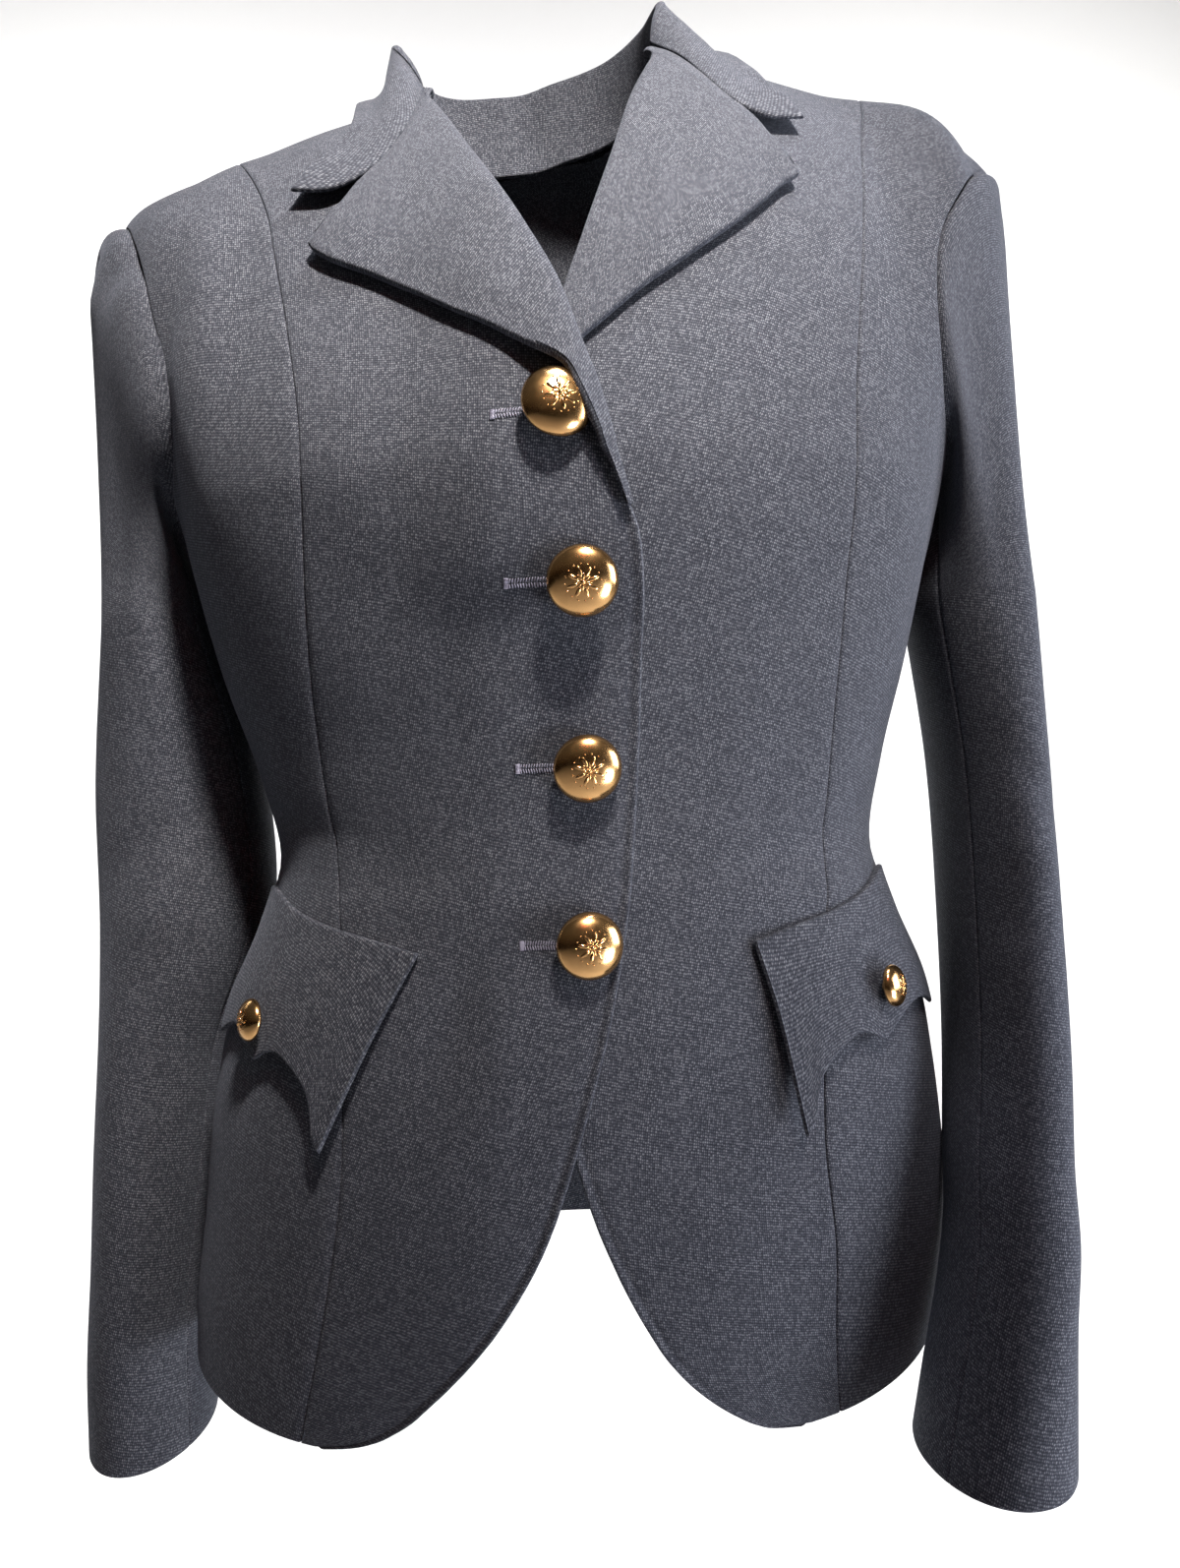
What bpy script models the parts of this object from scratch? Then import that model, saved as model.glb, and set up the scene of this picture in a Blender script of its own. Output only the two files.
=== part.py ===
"""Fitted four-button uniform jacket, worn form, in metres, +Z up, front towards -Y."""

import math

import bmesh
import bpy
import numpy as np

# Driving sizes
CLOTH = 0.0022
SEAM_GAP = 0.0003
ARMPIT_Z = -0.215
HEM_Z = -0.5925
HEM_RISE = 0.010
SIDE_Y = -0.005
SHOULDER_HALF = 0.212
LARGE_BUTTON = 0.0130
SMALL_BUTTON = 0.0087

# Torso sections: z, half width, front depth, back depth
TORSO = (
    (-0.660, 0.1730, 0.116, 0.112),
    (-0.600, 0.1705, 0.114, 0.115),
    (-0.560, 0.1725, 0.114, 0.117),
    (-0.525, 0.1720, 0.113, 0.118),
    (-0.463, 0.1665, 0.112, 0.114),
    (-0.425, 0.1590, 0.110, 0.104),
    (-0.395, 0.1462, 0.109, 0.094),
    (-0.3685, 0.1382, 0.109, 0.088),
    (-0.327, 0.1448, 0.114, 0.090),
    (-0.285, 0.1567, 0.124, 0.097),
    (-0.227, 0.1690, 0.137, 0.104),
    (-0.198, 0.1740, 0.138, 0.105),
    (-0.140, 0.1780, 0.138, 0.105),
)

# Squareness by z: front power, back power
SQUARE = (
    (-0.600, 0.84, 0.84),
    (-0.463, 0.86, 0.84),
    (-0.3685, 0.90, 0.86),
    (-0.285, 0.84, 0.84),
    (-0.198, 0.76, 0.80),
)

# Shoulder height by x
SHOULDER = (
    (0.000, 0.0140),
    (0.050, 0.0100),
    (0.075, 0.0030),
    (0.100, -0.0040),
    (0.127, -0.0125),
    (0.150, -0.0195),
    (0.171, -0.0310),
    (0.190, -0.0440),
    (0.2065, -0.0530),
    (0.230, -0.0670),
)

# Armhole limits by row: how far round the panel reaches on the right front, left front, right back, left back
ARMHOLE = (
    (0.00, 1.000, 1.000, 1.00, 1.00),
    (0.05, 0.925, 0.900, 0.94, 0.94),
    (0.12, 0.845, 0.775, 0.88, 0.88),
    (0.25, 0.765, 0.665, 0.83, 0.83),
    (0.40, 0.735, 0.615, 0.80, 0.80),
    (0.60, 0.760, 0.640, 0.79, 0.79),
    (0.80, 0.825, 0.730, 0.82, 0.80),
    (0.92, 0.868, 0.815, 0.87, 0.83),
    (1.00, 0.930, 0.870, 0.93, 0.87),
)

# Princess seams by z: front x, back x
PRINCESS = (
    (-0.660, 0.1100, 0.088),
    (-0.592, 0.1083, 0.086),
    (-0.568, 0.1050, 0.085),
    (-0.524, 0.1010, 0.082),
    (-0.485, 0.0967, 0.078),
    (-0.440, 0.0970, 0.072),
    (-0.387, 0.0996, 0.063),
    (-0.356, 0.1018, 0.062),
    (-0.326, 0.1041, 0.065),
    (-0.297, 0.1054, 0.070),
    (-0.245, 0.1068, 0.084),
    (-0.190, 0.1080, 0.098),
    (-0.140, 0.1155, 0.106),
    (-0.100, 0.1235, 0.111),
    (-0.075, 0.1290, 0.114),
    (-0.040, 0.1410, 0.117),
    (-0.015, 0.1520, 0.118),
)

# Front edge, then roll line, by z: x of the upper front, x of the lower front turned over
EDGE = (
    (-0.5925, -0.0980, -0.0900),
    (-0.5905, -0.0870, -0.0785),
    (-0.5878, -0.0785, -0.0714),
    (-0.5827, -0.0693, -0.0625),
    (-0.5697, -0.0550, -0.0452),
    (-0.5583, -0.0447, -0.0340),
    (-0.5454, -0.0348, -0.0245),
    (-0.5291, -0.0251, -0.0142),
    (-0.5071, -0.0146, -0.0038),
    (-0.4851, -0.0069, 0.0034),
    (-0.4596, 0.0006, 0.0090),
    (-0.4267, 0.0087, 0.0145),
    (-0.3932, 0.0145, 0.0185),
    (-0.3629, 0.0181, 0.0205),
    (-0.3287, 0.0209, 0.0215),
    (-0.2937, 0.0215, 0.0215),
    (-0.2637, 0.0204, 0.0210),
    (-0.2379, 0.0157, 0.0200),
    (-0.2168, 0.0090, 0.0185),
    (-0.1940, 0.0024, 0.0165),
    (-0.1813, -0.0018, 0.0150),
    (-0.1502, -0.0109, 0.0108),
    (-0.1240, -0.0212, 0.0022),
    (-0.0890, -0.0352, -0.0105),
    (-0.0508, -0.0466, -0.0250),
    (-0.0200, -0.0530, -0.0415),
    (-0.0030, -0.0555, -0.0505),
    (0.0010, -0.0640, -0.0640),
    (0.0040, -0.0715, -0.0715),
    (0.0300, -0.0740, -0.0740),
)

# Lapel rows of the upper front: roll z, edge x, edge z
LAPEL_RIGHT = (
    (-0.004, -0.1082, -0.1059),
    (-0.022, -0.1035, -0.1100),
    (-0.042, -0.0960, -0.1160),
    (-0.062, -0.0800, -0.1260),
    (-0.085, -0.0650, -0.1385),
    (-0.108, -0.0500, -0.1540),
    (-0.128, -0.0365, -0.1665),
    (-0.148, -0.0230, -0.1788),
    (-0.168, -0.0101, -0.1902),
    (-0.188, -0.0032, -0.2029),
    (-0.206, 0.0025, -0.2142),
    (-0.220, 0.0071, -0.2237),
    (-0.235, 0.0122, -0.2350),
)

# Lapel rows of the lower front, x turned over
LAPEL_LEFT = (
    (-0.004, -0.0896, -0.1076),
    (-0.022, -0.0810, -0.1122),
    (-0.042, -0.0715, -0.1215),
    (-0.062, -0.0560, -0.1340),
    (-0.082, -0.0370, -0.1460),
    (-0.102, -0.0189, -0.1562),
    (-0.120, -0.0050, -0.1658),
    (-0.137, 0.0040, -0.1725),
    (-0.154, 0.0082, -0.1800),
    (-0.170, 0.0108, -0.1890),
)

# Gorge seam from the roll line by the notch to the lapel tip, wearer's right then left turned over
GORGE_RIGHT = (
    (0.00, -0.0553, -0.0040),
    (0.30, -0.0620, -0.0300),
    (0.55, -0.0725, -0.0549),
    (0.80, -0.0920, -0.0835),
    (1.00, -0.1082, -0.1059),
)
GORGE_LEFT = (
    (0.00, -0.0500, -0.0040),
    (0.30, -0.0560, -0.0320),
    (0.55, -0.0625, -0.0560),
    (0.80, -0.0740, -0.0790),
    (1.00, -0.0896, -0.1076),
)
NOTCH = 0.78
FLAP_SKEW = 0.040
COLLAR_TIPS = ((-0.1153, -0.0763), (-0.0966, -0.0742))

# How far the fall stands off the body: first and last of 13 columns from the gorge, distance
FALL_STAND = ((1, 3, 0.0026), (3, 4, 0.0034), (4, 6, 0.0048), (6, 13, 0.0029))

# Collar stations from the gorge to the centre back: place, fold, outer edge, stand foot
COLLAR = (
    (0.00, (0.0530, -0.046, -0.0040), (0.1090, -0.079, -0.0760), (0.0500, -0.044, -0.0120)),
    (0.06, (0.0550, -0.038, 0.0050), (0.1030, -0.068, -0.0590), (0.0528, -0.036, -0.0060)),
    (0.13, (0.0582, -0.028, 0.0150), (0.0960, -0.058, -0.0455), (0.0562, -0.026, 0.0000)),
    (0.20, (0.0620, -0.018, 0.0240), (0.0900, -0.046, -0.0330), (0.0605, -0.016, 0.0030)),
    (0.30, (0.0635, -0.006, 0.0305), (0.0830, 0.000, -0.0060), (0.0628, -0.006, 0.0080)),
    (0.50, (0.0600, 0.024, 0.0365), (0.0770, 0.042, -0.0120), (0.0590, 0.023, 0.0082)),
    (0.75, (0.0400, 0.051, 0.0375), (0.0500, 0.068, -0.0170), (0.0400, 0.050, 0.0020)),
    (1.00, (0.0000, 0.063, 0.0380), (0.0000, 0.080, -0.0190), (0.0000, 0.061, 0.0010)),
)

# Pocket flap columns: top x share, top z, foot x, foot z
FLAP = (
    (0.0650, -0.3993, 0.0913, -0.4755),
    (0.0700, -0.3980, 0.0948, -0.4700),
    (0.0760, -0.3963, 0.0960, -0.4625),
    (0.0830, -0.3945, 0.0980, -0.4545),
    (0.0900, -0.3928, 0.1022, -0.4485),
    (0.0970, -0.3914, 0.1088, -0.4428),
    (0.1040, -0.3895, 0.1146, -0.4400),
    (0.1100, -0.3877, 0.1205, -0.4412),
    (0.1150, -0.3860, 0.1265, -0.4445),
    (0.1195, -0.3840, 0.1320, -0.4395),
    (0.1240, -0.3815, 0.1380, -0.4345),
    (0.1285, -0.3785, 0.1460, -0.4335),
    (0.1340, -0.3760, 0.1560, -0.4395),
)

# Sleeve rings below the armpit: z, centre x, centre y, half width, half depth
SLEEVE_LEFT = (
    (-0.255, 0.1925, -0.008, 0.0265, 0.052),
    (-0.330, 0.1955, -0.018, 0.0228, 0.052),
    (-0.400, 0.1935, -0.030, 0.0222, 0.050),
    (-0.463, 0.1875, -0.047, 0.0222, 0.047),
    (-0.500, 0.1778, -0.070, 0.0230, 0.042),
    (-0.525, 0.1735, -0.082, 0.0236, 0.041),
    (-0.550, 0.1672, -0.091, 0.0243, 0.0405),
    (-0.580, 0.1592, -0.101, 0.0273, 0.040),
    (-0.603, 0.1530, -0.109, 0.0293, 0.040),
)
SLEEVE_RIGHT = (
    (-0.255, -0.1925, 0.000, 0.0235, 0.050),
    (-0.330, -0.1905, 0.012, 0.0385, 0.046),
    (-0.400, -0.1915, 0.014, 0.0395, 0.045),
    (-0.450, -0.2015, 0.016, 0.0315, 0.046),
    (-0.500, -0.2065, 0.014, 0.0290, 0.046),
    (-0.550, -0.2100, 0.010, 0.0265, 0.046),
    (-0.600, -0.2120, 0.006, 0.0265, 0.045),
    (-0.634, -0.2105, 0.002, 0.0265, 0.045),
)

# Sideways sway of the worn jacket by z
SWAY = (
    (-0.660, -0.0150),
    (-0.590, -0.0120),
    (-0.560, -0.0090),
    (-0.525, -0.0050),
    (-0.475, -0.0035),
    (-0.400, -0.0010),
    (-0.370, -0.0005),
    (-0.327, -0.0015),
    (-0.290, -0.0028),
    (-0.240, -0.0035),
    (-0.200, -0.0030),
    (-0.120, 0.0000),
    (-0.050, 0.0000),
    (0.000, -0.0060),
    (0.030, -0.0115),
    (0.060, -0.0115),
)
LIFT = 0.0165
TWIST = 0.06

# Large buttons: x, z, lean towards the wearer's left in degrees
BUTTONS = (
    (-0.0135, -0.2026, 13),
    (-0.0024, -0.2596, 0),
    (0.0009, -0.3279, 4),
    (-0.0003, -0.3964, 10),
)


# Lean of the pocket buttons towards the sides in degrees
POCKET_LEAN = 40


def table(rows, column, at):
    """Smooth curve through one column of a table, whose first column rises."""
    rows = np.array(rows, float)
    if rows[0, 0] > rows[-1, 0]:
        rows = rows[::-1]
    xs = rows[:, 0]
    ys = rows[:, column]
    slopes = np.gradient(ys, xs)
    at = np.clip(np.asarray(at, float), xs[0], xs[-1])
    i = np.clip(np.searchsorted(xs, at) - 1, 0, len(xs) - 2)
    step = xs[i + 1] - xs[i]
    s = (at - xs[i]) / step
    a = ys[i] * (1 + 2 * s) * (1 - s) ** 2 + ys[i + 1] * s * s * (3 - 2 * s)
    return a + step * (slopes[i] * s * (1 - s) ** 2 - slopes[i + 1] * s * s * (1 - s))


def ease(a, b, at):
    """0 at a and 1 at b, with a soft start and end."""
    s = np.clip((np.asarray(at, float) - a) / (b - a), 0, 1)
    return s * s * (3 - 2 * s)


def worn(points):
    """The sway and the lifted shoulder of the worn jacket."""
    p = np.array(points, float)
    x = p[..., 0].copy()
    z = p[..., 2].copy()
    p[..., 0] += table(SWAY, 1, z)
    twist = TWIST * ease(-0.36, -0.2, z)
    p[..., 0] -= twist * p[..., 1]
    p[..., 1] += twist * x
    p[..., 0] += 0.007 * ease(0.12, 0.20, np.abs(x)) * ease(-0.15, -0.08, z)
    tilt = np.tanh(x / 0.06) * (1 + 0.25 * ease(0.1, 0.17, np.abs(x)) - 0.42 * ease(0.165, 0.2, np.abs(x)))
    p[..., 2] += LIFT * tilt * ease(-0.25, -0.12, z)
    return p


def torso(turn, row):
    """Point of the plain form. turn 0 is the front, 1 the side, 2 the back, minus on the wearer's right.
    row is z up to the armpit, then ARMPIT_Z + v for v from 0 to 1 at the shoulder, and on over it."""
    turn = np.asarray(turn, float)
    row = np.asarray(row, float)
    turn, row = np.broadcast_arrays(turn, row)
    v = np.maximum(row - ARMPIT_Z, 0)
    over = v > 1
    v = np.where(over, 2 - v, v)
    t = np.where(over, np.where(turn < 0, -1, 1) * (2 - np.abs(turn)), turn)
    z = np.minimum(row, ARMPIT_Z)
    angle = np.abs(t) * math.pi / 2
    half = table(TORSO, 1, z) * (1 - v) + SHOULDER_HALF * v
    x = np.sign(t) * half * np.sin(angle)
    cos = np.cos(angle)
    full = 3 + 2 * ease(0.11, 0.03, np.abs(x))
    wide = ease(0.13, 0.20, np.abs(x))
    front = table(TORSO, 2, z) * np.maximum(cos, 0) ** (table(SQUARE, 1, z) - 0.22 * v)
    front = front * (1 - v ** (1.55 + 1.6 * wide)) ** (0.66 - 0.08 * wide)
    back = table(TORSO, 3, z) * np.maximum(-cos, 0) ** (table(SQUARE, 2, z) - 0.22 * v) * (1 - v ** full) ** 0.57
    y = SIDE_Y * (1 - v) + 0.006 * v - front + back
    top = table(SHOULDER, 1, np.abs(x))
    z = z + HEM_RISE * ease(0.40, 0.95, np.abs(t)) * ease(-0.54, HEM_Z, z)
    z = np.where(v > 0, ARMPIT_Z + (top - ARMPIT_Z) * v, z)
    return np.stack([x, y, z], -1)


def place(x, z, back=False):
    """turn and row of the form's point at this x and z."""
    x = np.asarray(x, float)
    z = np.asarray(z, float)
    top = table(SHOULDER, 1, np.abs(x))
    v = np.clip((z - ARMPIT_Z) / (top - ARMPIT_Z), 0, 1)
    row = np.where(z > ARMPIT_Z, ARMPIT_Z + v, z)
    half = table(TORSO, 1, np.minimum(z, ARMPIT_Z)) * (1 - v) + SHOULDER_HALF * v
    t = np.arcsin(np.clip(np.abs(x) / half, 0, 1)) * 2 / math.pi
    t = 2 - t if back else t
    return np.where(x < 0, -t, t), row


def normals(turn, row):
    """Outward normals of the plain form."""
    d = 0.002
    turn, row = np.broadcast_arrays(np.asarray(turn, float), np.asarray(row, float))
    size = np.abs(turn)
    near = (row > ARMPIT_Z + 0.8) & (np.abs(size - 1) < 0.03)
    turn = np.where(near, np.sign(turn) * np.where(size > 1, 1.03, 0.97), turn)
    a = torso(turn + d, row) - torso(turn - d, row)
    b = torso(turn, row + d) - torso(turn, row - d)
    n = np.cross(a, b)
    return n / np.linalg.norm(n, axis=-1, keepdims=True)


def raised(turn, row, out):
    """Form points moved out."""
    return torso(turn, row) + normals(turn, row) * np.asarray(out, float)[..., None]


def overlap(x, z):
    """How far the upper front stands out over the lower one."""
    near = ease(-0.075, -0.030, x)
    crossing = ease(-0.285, -0.245, z) * ease(-0.050, -0.110, z)
    return near * (0.0031 + 0.0058 * crossing)


# Rows from the hem to the shoulder
LOW = (HEM_Z, -0.5905, -0.586, -0.578, -0.565, -0.545, -0.520, -0.488, -0.456, -0.425,
       -0.397, -0.3685, -0.340, -0.310, -0.280, -0.248, ARMPIT_Z)
HIGH = (0.05, 0.12, 0.21, 0.32, 0.44, 0.56, 0.68, 0.79, 0.88, 0.95, 1.0)
ROWS = np.array(LOW + tuple(ARMPIT_Z + v for v in HIGH))


def seam_turn(rows, x_at, back=False):
    """turn of a seam whose x is known by z, found row by row."""
    xs = np.linspace(-0.2, 0.2, 4001)
    top = table(SHOULDER, 1, np.abs(xs))
    found = []
    for row in rows:
        v = max(row - ARMPIT_Z, 0)
        z = np.full(xs.shape, row) if v == 0 else ARMPIT_Z + (top - ARMPIT_Z) * v
        x = xs[np.argmin(np.abs(xs - x_at(z)))]
        half = table(TORSO, 1, min(row, ARMPIT_Z)) * (1 - v) + SHOULDER_HALF * v
        t = math.asin(min(abs(x) / half, 1)) * 2 / math.pi
        t = 2 - t if back else t
        found.append(-t if x < 0 else t)
    return np.array(found)


def limits(rows, side):
    """Turns of the armhole or side seam, front and back."""
    v = np.maximum(rows - ARMPIT_Z, 0)
    return table(ARMHOLE, 1 if side < 0 else 2, v), 2 - table(ARMHOLE, 3 if side < 0 else 4, v)


def across(start, end, count):
    share = np.linspace(0, 1, count)
    return start[:, None] * (1 - share) + end[:, None] * share


def panel(start, end, count, out=None):
    """Outer and inner point grids of a body panel between two lines of turns."""
    turn = across(start, end, count)
    row = np.repeat(ROWS[:, None], count, 1)
    plain = torso(turn, row)
    n = normals(turn, row)
    lift = np.zeros(turn.shape) if out is None else out(plain[..., 0], plain[..., 2])
    outer = plain + n * lift[..., None]
    return outer, outer - n * CLOTH


def pull_in(grid, sides, gap=SEAM_GAP * 0.6):
    """Moves the named border lines of a grid inwards by half a seam gap."""
    grid = grid.copy()
    for side in sides:
        edge, near = {"left": ((slice(None), 0), (slice(None), 1)),
                      "right": ((slice(None), -1), (slice(None), -2)),
                      "foot": (0, 1),
                      "top": (-1, -2)}[side]
        way = grid[near] - grid[edge]
        size = np.maximum(np.linalg.norm(way, axis=-1, keepdims=True), 1e-9)
        grid[edge] = grid[edge] + way / size * gap
    return grid


def body_panel(name, count=None):
    """Grids of one torso panel by name."""
    side = -1 if name.endswith("right") else 1
    reach_front, reach_back = limits(ROWS, side)
    princess = seam_turn(ROWS, lambda z: table(PRINCESS, 1, z))
    behind = seam_turn(ROWS, lambda z: table(PRINCESS, 2, z), back=True)
    if name.startswith("front"):
        edge = seam_turn(ROWS, lambda z: -side * table(EDGE, 1 if side < 0 else 2, z))
        lift = overlap if side < 0 else None
        outer, inner = panel(edge, side * princess, count or 11, lift)
        sides = ("right", "top")
    elif name.startswith("side_front"):
        outer, inner = panel(side * princess, side * reach_front, count or 7)
        sides = ("left", "right", "top")
    elif name.startswith("side_back"):
        outer, inner = panel(side * reach_back, side * behind, count or 7)
        sides = ("left", "right", "top")
    else:
        outer, inner = back_panel(side, behind, count or 8)
        sides = ("left", "right", "top")
    return pull_in(outer, sides), pull_in(inner, sides)


def back_panel(side, behind, count):
    """Centre back, its top line cut down to the back of the neck."""
    turn = across(side * behind, np.full(len(ROWS), side * 2.0), count)
    row = np.repeat(ROWS[:, None], count, 1)
    v = np.maximum(row - ARMPIT_Z, 0)
    x = np.abs(torso(turn, row)[..., 0])
    low = 1 - 0.075 * ease(0.072, 0.030, x) * ease(0.3, 1, v)
    row = np.where(v > 0, ARMPIT_Z + v * low, row)
    outer = torso(turn, row)
    return outer, outer - normals(turn, row) * CLOTH


def gorge(side, s):
    """x and z along the gorge seam line, for the wearer's right or left, x as on the right."""
    rows = GORGE_RIGHT if side < 0 else GORGE_LEFT
    return table(rows, 1, s), table(rows, 2, s)


def lapel(side, rows=13, cols=7):
    """Grids of one turned-back lapel, standing off the front it lies on."""
    chosen = LAPEL_RIGHT if side < 0 else LAPEL_LEFT
    tagged = [(i / (len(chosen) - 1),) + r for i, r in enumerate(chosen)]
    q = np.linspace(0, 1, rows)
    roll_z = table(tagged, 1, q)
    roll_x = table(EDGE, 1 if side < 0 else 2, roll_z)
    edge_x = table(tagged, 2, q)
    edge_z = table(tagged, 3, q)
    s = np.linspace(0, 1, cols)
    x = roll_x[:, None] * (1 - s) + edge_x[:, None] * s
    z = roll_z[:, None] * (1 - s) + edge_z[:, None] * s
    top_x, top_z = gorge(side, s)
    bend = (np.clip(1 - q / 0.3, 0, 1) ** 1.5)[:, None]
    x, z = x + (top_x - x[0]) * bend, z + (top_z - z[0]) * bend
    x = x if side < 0 else -x
    turn, row = place(x, z)
    stand = 0.0032 + 0.0042 * s ** 0.8 * (1 - 0.5 * q[:, None])
    if side < 0:
        stand = stand + overlap(x, z)
        stand = stand + 0.0066 * s * np.exp(-((q[:, None] - 0.71) / 0.13) ** 2)
    outer = torso(turn, row) + normals(turn, row) * stand[..., None]
    inner = outer - normals(turn, row) * CLOTH
    return pull_in(outer, ("foot",), SEAM_GAP * 1.5), pull_in(inner, ("foot",), SEAM_GAP * 1.5)


def flap(side, rows=7):
    """Grids of one pointed pocket flap, from its slanted seam to its foot."""
    t_top, r_top = place([c[0] for c in FLAP], [c[1] for c in FLAP])
    t_foot, r_foot = place([c[2] for c in FLAP], [c[3] for c in FLAP])
    k = np.linspace(0, 1, rows)[:, None]
    skew = FLAP_SKEW * ease(1.0, 0.6, np.linspace(0, 1, len(FLAP)))
    turn = side * (t_top * (1 - k) + t_foot * k) - skew * k
    row = r_top * (1 - k) + r_foot * k
    tip = np.linspace(1, 0, len(FLAP))
    stand = 0.0036 + (0.0004 + 0.0068 * tip ** 0.8) * k ** 1.3
    if side < 0:
        plain = torso(turn, row)
        stand = stand + overlap(plain[..., 0], plain[..., 2])
    n = normals(turn, row)
    outer = torso(turn, row) + n * stand[..., None]
    return outer, outer - n * CLOTH


def push_out(points, least):
    """Moves points out of the torso to at least this far above its surface."""
    turn, v = np.meshgrid(np.linspace(-2, 2, 401), np.linspace(0.3, 1, 141))
    body = torso(turn, ARMPIT_Z + v).reshape(-1, 3)
    away = normals(turn, ARMPIT_Z + v).reshape(-1, 3)
    points = points.copy()
    flat = points.reshape(-1, 3)
    for _ in range(3):
        for i, p in enumerate(flat):
            near = np.argmin(((body - p) ** 2).sum(1))
            high = (p - body[near]) @ away[near]
            if high < least:
                flat[i] = p + away[near] * (least - high)
    return flat.reshape(points.shape)


def collar_front(side, s):
    """Front line of the fall: along the gorge to the notch, then out to the collar tip."""
    tip_x, tip_z = COLLAR_TIPS[0 if side < 0 else 1]
    x, z = gorge(side, np.minimum(s / 0.7, 1) * NOTCH)
    out = np.clip((s - 0.7) / 0.3, 0, 1)
    x, z = x + (tip_x - x) * out, z + (tip_z - z) * out
    turn, row = place(x if side < 0 else -x, z + 0.0013)
    stand = 0.0036 + 0.0040 * s
    return torso(turn, row) + normals(turn, row) * stand[..., None]


def collar_half(side, count, fall):
    """Visible face of half the collar, from its front end to the centre back."""
    c = np.linspace(0, 1, count) ** 1.15
    lines = []
    for part in (1, 2, 3):
        rows = [(r[0],) + r[part] for r in COLLAR]
        line = np.stack([table(rows, k, c) for k in (1, 2, 3)], -1)
        line[:, 0] *= side
        lines.append(line)
    fold, edge, foot = lines
    front = collar_front(side, np.linspace(0, 1, fall))
    near = (np.clip(1 - c / 0.30, 0, 1) ** 1.6)[:, None]
    fold = fold + (front[0] + (0, 0.0025, 0.0020) - fold[0]) * near
    foot = foot + (front[0] + (0, 0.0040, -0.0045) - foot[0]) * near
    along = np.gradient(fold, axis=0)
    out = np.stack([along[:, 1], -along[:, 0], np.zeros(count)], -1)
    out /= np.linalg.norm(out, axis=-1, keepdims=True)
    out *= np.sign((out * (fold - (0, 0.01, 0))).sum(-1, keepdims=True))
    half = CLOTH + 0.0006
    up = np.array((0.0, 0.0, 1.0))
    rows = [foot - out * half, (foot + fold) / 2 - out * half, fold - out * half - up * 0.003,
            fold - out * half * 0.7 - up * 0.0009, fold + 0 * up,
            fold + out * half * 0.7 - up * 0.0009]
    start = fold + out * half - up * 0.003
    bend = start * 0.45 + edge * 0.55 - up * 0.004
    slant = []
    for s in np.linspace(0, 1, fall):
        slant.append(start * (1 - s) ** 2 + bend * 2 * s * (1 - s) + edge * s * s)
    slant = np.stack(slant)
    slant = slant + (front - slant[:, 0])[:, None] * near
    for first, last, stand in FALL_STAND:
        slant[:, first:last] = push_out(slant[:, first:last], CLOTH + stand)
    return np.concatenate([np.stack(rows), slant])


def collar(count=13, fall=6):
    """The folded collar: stand, fold and fall as one cloth, from right end to left end."""
    right = collar_half(-1, count, fall)
    left = collar_half(1, count, fall)
    return np.concatenate([right, left[:, -2::-1]], 1)


def sleeve_tube(side, around=24, cap=9, down=11):
    """Closed tube of the visible face, rows from the armhole to the cuff; angle 0 is the outer side."""
    rings = SLEEVE_LEFT if side > 0 else SLEEVE_RIGHT
    angle = np.linspace(0, 2 * math.pi, around, endpoint=False)
    v = ((1 + np.cos(angle)) / 2) ** 1.2
    front, back = limits(ARMPIT_Z + v, side)
    turn = np.where(np.sin(angle) >= 0, front, back)
    armhole = torso(side * turn, ARMPIT_Z + v)
    armhole = worn(armhole + np.array((side * 0.0012, 0, 0)))

    def ring(z):
        x, y, w, d = (table(rings, k, z) for k in (1, 2, 3, 4))
        return np.stack([x + side * w * np.cos(angle), y - d * np.sin(angle), np.full(around, z)], -1)

    high = (1 + np.cos(angle)) / 2
    first = ring(rings[0][0])
    bulge = 0.004 if side > 0 else 0.022
    out = np.stack([side * (0.006 + bulge * high), -0.003 * np.sin(angle), -0.003 * (1 - high)], -1)
    lift = 0.5 * (armhole[:, 2] - first[:, 2])
    above = np.stack([-0.016 * high if side > 0 else 0.004 * high, 0 * lift, lift], -1)
    rows = []
    for s in np.linspace(0, 1, cap)[:-1] ** 1.15:
        rows.append(armhole * (1 - s) ** 3 + (armhole + out) * 3 * s * (1 - s) ** 2
                    + (first + above) * 3 * s * s * (1 - s) + first * s ** 3)
    for z in np.linspace(rings[0][0], rings[-1][0], down):
        rows.append(ring(z))
    return np.stack(rows, 0)


def tube_normals(tube, side):
    a = np.roll(tube, -1, 1) - np.roll(tube, 1, 1)
    b = np.gradient(tube, axis=0)
    n = np.cross(a, b) * side
    return n / np.linalg.norm(n, axis=-1, keepdims=True)


def sleeve(side, top):
    """Grids of the top or the under sleeve, cut from the tube at the two arm seams."""
    tube = sleeve_tube(side)
    n = tube_normals(tube, side)
    around = tube.shape[1]
    fore, hind = round(around * 0.42), round(around * 0.70)
    columns = list(range(hind - around, fore + 1)) if top else list(range(fore, hind + 1))
    outer = tube[:, columns]
    inner = outer - n[:, columns] * CLOTH
    sides = ("left", "right")
    return pull_in(outer, sides, SEAM_GAP * 1.4), pull_in(inner, sides, SEAM_GAP * 1.4)


def button(radius, segments=20):
    """Rings of a domed button on its shank, along +Z from the cloth."""
    high = radius * 0.46
    profile = [(0.24, 0.0), (0.24, 0.0030 / radius), (0.85, 0.0032 / radius), (1.0, 0.0042 / radius)]
    profile += [(math.cos(a), 0.0050 / radius + high / radius * math.sin(a))
                for a in (0.0, 0.35, 0.75, 1.15)]
    return [(r * radius, h * radius) for r, h in profile], 0.0050 + high


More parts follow.
